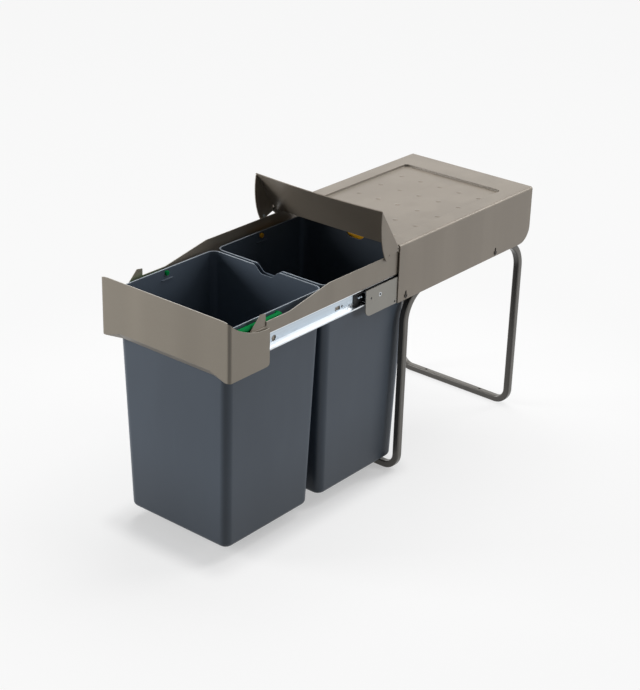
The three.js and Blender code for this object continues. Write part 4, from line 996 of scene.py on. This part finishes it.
# ------------------------------------------------------------------ tube hoops
def tube_hoop(name, leg_y, towards):
    """Half of a bent square tube, drawn from the top run's open end, then mirrored."""
    start = HALVES_MEET - towards * 0.15 * MM
    deselect()
    bpy.ops.mesh.primitive_plane_add(size=TUBE, location=(TUBE_X, start, RUN_Z), rotation=(pi / 2, 0, 0))
    tube = bpy.context.object
    tube.name = tube.data.name = name
    settle(tube)
    bevel_corners(tube, lambda v: True, TUBE_EDGE, 4)
    drop_faces(tube, lambda c, n: True, "ONLY_FACE")
    bend_y = leg_y + towards * TOP_BEND
    floor_z = TUBE / 2
    run_loop(tube, lambda a, b: True, [
        ("run", (0, bend_y - start, 0)),
        ("bend", (TUBE_X, bend_y, RUN_Z - TOP_BEND), (1, 0, 0), towards * pi / 2, 14),
        ("run", (0, 0, floor_z + FOOT_BEND - (RUN_Z - TOP_BEND))),
        ("bend", (TUBE_X - FOOT_BEND, leg_y, floor_z + FOOT_BEND), (0, 1, 0), pi / 2, 12),
        ("run", (-(TUBE_X - FOOT_BEND), 0, 0)),
    ])
    modifier(tube, "MIRROR", use_axis=(True, False, False), merge_threshold=0.02 * MM)
    clean(tube)
    pick(tube)
    bpy.ops.object.mode_set(mode="EDIT")
    bpy.ops.mesh.select_all(action="DESELECT")
    bpy.ops.mesh.select_non_manifold(extend=False, use_wire=False, use_boundary=True, use_multi_face=False,
                                     use_non_contiguous=False, use_verts=False)
    bpy.ops.mesh.fill_holes(sides=0)
    bpy.ops.mesh.select_all(action="SELECT")
    bpy.ops.mesh.fill_holes(sides=0)
    bpy.ops.mesh.normals_make_consistent(inside=False)
    leave_edit(tube)
    holes = []
    for x in (-FLOOR_HOLE_X, FLOOR_HOLE_X):
        deselect()
        bpy.ops.mesh.primitive_cylinder_add(vertices=24, radius=HOLE_RADIUS, depth=0.03,
                                            location=(x, leg_y, TUBE / 2))
        holes.append(settle(bpy.context.object))
    if towards < 0:
        holes.append(across_bar("screw_way", -PAST_SIDES, PAST_SIDES, SLOT_PLACES[1], SLOT_Z, HOLE_RADIUS))
    carve(tube, *holes)
    return soften(tube, 0.25 * MM, 2, 50)


# ------------------------------------------------------------------ slide
def set_back_channel(node, side):
    """The moving slide channel, its upper lip set back under the rail's overhang."""
    channel = finished_copy(node, width=0.25 * MM)
    low, high = sorted((side * LIP_IN, side * LIP_OUT))
    return carve(channel, block("lip_trim", (low, LIP_FRONT, LIP_LOW), (high, LIP_BACK, LIP_HIGH)))


def socket_screw(node, side):
    """A slide screw with a star socket sunk in its head."""
    screw = finished_copy(node)
    middle = [(a + b) / 2 for a, b in zip(*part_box(node))]
    face = side * SCREW_FACE
    low, high = sorted((face, face - side * SOCKET_DEPTH))
    sockets = []
    for turn in range(3):
        arm = block("socket_arm", (low, middle[1] - SOCKET_REACH, middle[2] - SOCKET_HALF),
                    (high, middle[1] + SOCKET_REACH, middle[2] + SOCKET_HALF))
        pick(arm)
        bpy.ops.transform.rotate(value=turn * pi / 3, orient_axis="X", center_override=middle)
        settle(arm)
        sockets.append(arm)
    return carve(screw, *sockets)


def ball_pair(name, side):
    """The first two steel balls that show in the cage's windows."""
    outer = side * CAGE_FACE
    balls = []
    for k, y in enumerate(BALL_PLACES):
        low, high = sorted((outer + side * BALL_OUT, outer - side * BALL_IN))
        ball = across_bar(f"{name}_{k}", low, high, y, BALL_Z, BALL, 20)
        bevel_edges(ball, edge_in(0, max(low, high, key=abs)), 0.9 * MM, 4)
        balls.append(ball)
    low, high = sorted((outer, outer - side * STEM_IN))
    stem = block("stem", (low, BALL_PLACES[0], BALL_Z - STEM_HALF),
                 (high, BALL_PLACES[1], BALL_Z + STEM_HALF))
    carve(balls[0], stem, balls[1], operation="UNION")
    balls[0].name = balls[0].data.name = name
    return soften(balls[0], 0.15 * MM, 2, 50)


# ------------------------------------------------------------------ the cabinet
dress("cover", folded_cover(), COVER_TAUPE)
dress("front_panel", folded_panel(), PANEL_TAUPE)
dress("front_bin", bin_tub("front_bin_tub", FRONT_BIN_FACE))
dress("rear_bin", bin_tub("rear_bin_tub", REAR_BIN_FACE), REAR_SLATE)
dress("green_handle", bail_rod("green_bail", FRONT_BIN_FACE, -1, GREEN_ROD, GREEN_ROD_Z))
dress("yellow_handle", bail_rod("yellow_bail", REAR_BIN_FACE, 1, YELLOW_ROD, YELLOW_ROD_Z))
dress("front_hoop", tube_hoop("front_tube", FRONT_LEGS, 1))
dress("rear_hoop", tube_hoop("rear_tube", REAR_LEGS, -1), REAR_STAND)
dress("flap", finish=FLAP_TAUPE)
for hand in ("right", "left"):
    dress(f"flap_follower_{hand}", finish=STUD)
for side, hand in ((1, "right"), (-1, "left")):
    place(ball_pair(f"slide_balls_{hand}", side), f"{hand}_cage", ZINC, "zinc")
    dress(f"side_rail_{hand}", finish=RAIL_TAUPE)
    dress(f"slide_channel_{hand}", set_back_channel(f"slide_channel_{hand}", side))
    for end in ("front", "rear"):
        screw = f"runner_screw_{end}_{hand}"
        dress(screw, socket_screw(screw, side), SOCKET_ZINC)
    # painted shade: the zinc hinge pins take the black finish, standing in for the shadowed gap at the hinge
    dress(f"hinge_pin_{hand}", finish=SCREW_BLACK)
    for part in (f"slide_bracket_{hand}", f"rear_bracket_{hand}"):
        dress(part, finish=BRACKET_GREY)
for node in sorted(set(nodes) - dressed):
    dress(node)


# ------------------------------------------------------------------ floor, light and camera
# The floor's own tone and its glow, beside the bins' feet, around the unit and far off.
FOOT_PAPER, NEAR_PAPER, FAR_PAPER = 0.62, 0.24, 0.03
FOOT_GLOW, NEAR_GLOW, FAR_GLOW = 0.42, 0.738, 0.92
NEAR_REACH, FAR_REACH = 0.42, 0.88
BINS_BACK_FROM_MIDDLE = (0, 0.17, 0)
BINS_HALF = (0.10, 0.21, 1)
FOOT_REACH = 0.05
SKY = 0.07
LAMPS = [
    # name, place, aim, size, watts, seen in reflections
    ("overhead_softbox", (-0.2, 1.0, 2.6), (0, 0.1, 0.3), (2.4, 1.8), 48, False),
    ("rear_right_softbox", (1.3, 2.5, 2.1), (0, 0.1, 0.3), (1.2, 1.2), 24, True),
    ("right_softbox", (5.0, 3.0, 1.6), (0, 0, 0.25), (2.0, 2.0), 84, True),
    ("left_softbox", (-2.3, -2.1, 1.0), (0, -0.2, 0.2), (1.3, 1.3), 66, True),
]

EYE = (1.56825, -1.96215, 1.37902)
EYE_AZIMUTH, EYE_HEIGHT, EYE_ROLL = 0.680032, 0.435861, 0.0290597
SENSOR = 36
FOCAL_SHARE = 1664.38 / 690  # focal length as a share of the picture's longer side


def grey(level):
    return (level, level, level, 1.0)


def past_bins(paper):
    """How far a spot on the floor lies outside the bins' footprint."""
    spot = paper.place
    for operation, amount in (("ADD", BINS_BACK_FROM_MIDDLE), ("ABSOLUTE", None), ("SUBTRACT", BINS_HALF),
                              ("MAXIMUM", (0, 0, 0))):
        values = {0: spot, 1: amount} if amount else {0: spot}
        spot = paper.node("ShaderNodeVectorMath", {"operation": operation}, values).outputs["Vector"]
    return paper.tone("ShaderNodeVectorMath", "Value", {"operation": "LENGTH"}, {0: spot})


def pale_floor():
    deselect()
    bpy.ops.mesh.primitive_plane_add(size=40, location=(0, 0, -0.0004))
    floor = bpy.context.object
    floor.name = "studio_floor"
    paper = Finish("studio_paper", Roughness=0.85, Specular_IOR_Level=0.0, Emission_Strength=1.0)
    reach = paper.tone("ShaderNodeVectorMath", "Value", {"operation": "LENGTH"}, {0: paper.place})
    away = paper.band(reach, NEAR_REACH, FAR_REACH)
    # painted shadow: beside the bins' feet the paper takes more lamp light and glows less, so their cast
    # shadow falls darker there
    beside = paper.band(past_bins(paper), 0.0, FOOT_REACH)
    nearby = paper.blend(beside, grey(FOOT_PAPER), grey(NEAR_PAPER))
    nearby = paper.blend(paper.noise(0.7, 2, 0.5) * 0.04, nearby, grey(1))
    paper.feed(Base_Color=paper.blend(away, nearby, grey(FAR_PAPER)))
    glow = paper.blend(beside, grey(FOOT_GLOW), grey(NEAR_GLOW))
    glow = paper.blend(away, glow, grey(FAR_GLOW))
    paper.feed(Emission_Color=paper.blend(paper.seen_rays(), grey(0), glow))
    floor.data.materials.append(paper.material)


def white_surround():
    """White where it is seen, and a faint light otherwise."""
    world = bpy.data.worlds.new("studio_world")
    bpy.context.scene.world = world
    world.use_nodes = True
    air = Nodes(world.node_tree)
    sky = air.tree.nodes["Background"]
    sky.inputs["Color"].default_value = grey(1)
    sky.inputs["Strength"].default_value = SKY
    shown = air.node("ShaderNodeBackground", None, {"Color": grey(1), "Strength": 1.0})
    either = air.node("ShaderNodeMixShader", None,
                      {0: air.seen_rays(), 1: sky.outputs[0], 2: shown.outputs[0]})
    air.tree.links.new(either.outputs[0], air.tree.nodes["World Output"].inputs[0])


def lamps():
    for name, place_at, aim, size, power, mirrored in LAMPS:
        deselect()
        bpy.ops.object.light_add(type="AREA", location=place_at)
        lamp = bpy.context.object
        lamp.name = name
        lamp.data.shape = "RECTANGLE"
        lamp.data.size, lamp.data.size_y = size
        lamp.data.energy = power
        lamp.visible_glossy = mirrored
        way = Vector(aim) - Vector(place_at)
        lamp.rotation_euler = way.to_track_quat("-Z", "Y").to_euler()


def camera():
    back = Vector((sin(EYE_AZIMUTH) * cos(EYE_HEIGHT), -cos(EYE_AZIMUTH) * cos(EYE_HEIGHT), sin(EYE_HEIGHT)))
    side = Vector((0, 0, 1)).cross(back).normalized()
    up = back.cross(side)
    right = cos(EYE_ROLL) * side + sin(EYE_ROLL) * up
    over = cos(EYE_ROLL) * up - sin(EYE_ROLL) * side
    data = bpy.data.cameras.new("view")
    eye = bpy.data.objects.new("view", data)
    bpy.context.scene.collection.objects.link(eye)
    data.sensor_fit = "AUTO"
    data.sensor_width = SENSOR
    data.lens = FOCAL_SHARE * SENSOR
    turn = Matrix((right, over, back)).transposed().to_4x4()
    eye.matrix_world = Matrix.Translation(EYE) @ turn
    bpy.context.scene.camera = eye


pale_floor()
white_surround()
lamps()
camera()
bpy.context.scene.view_settings.view_transform = "Standard"
bpy.context.view_layer.update()
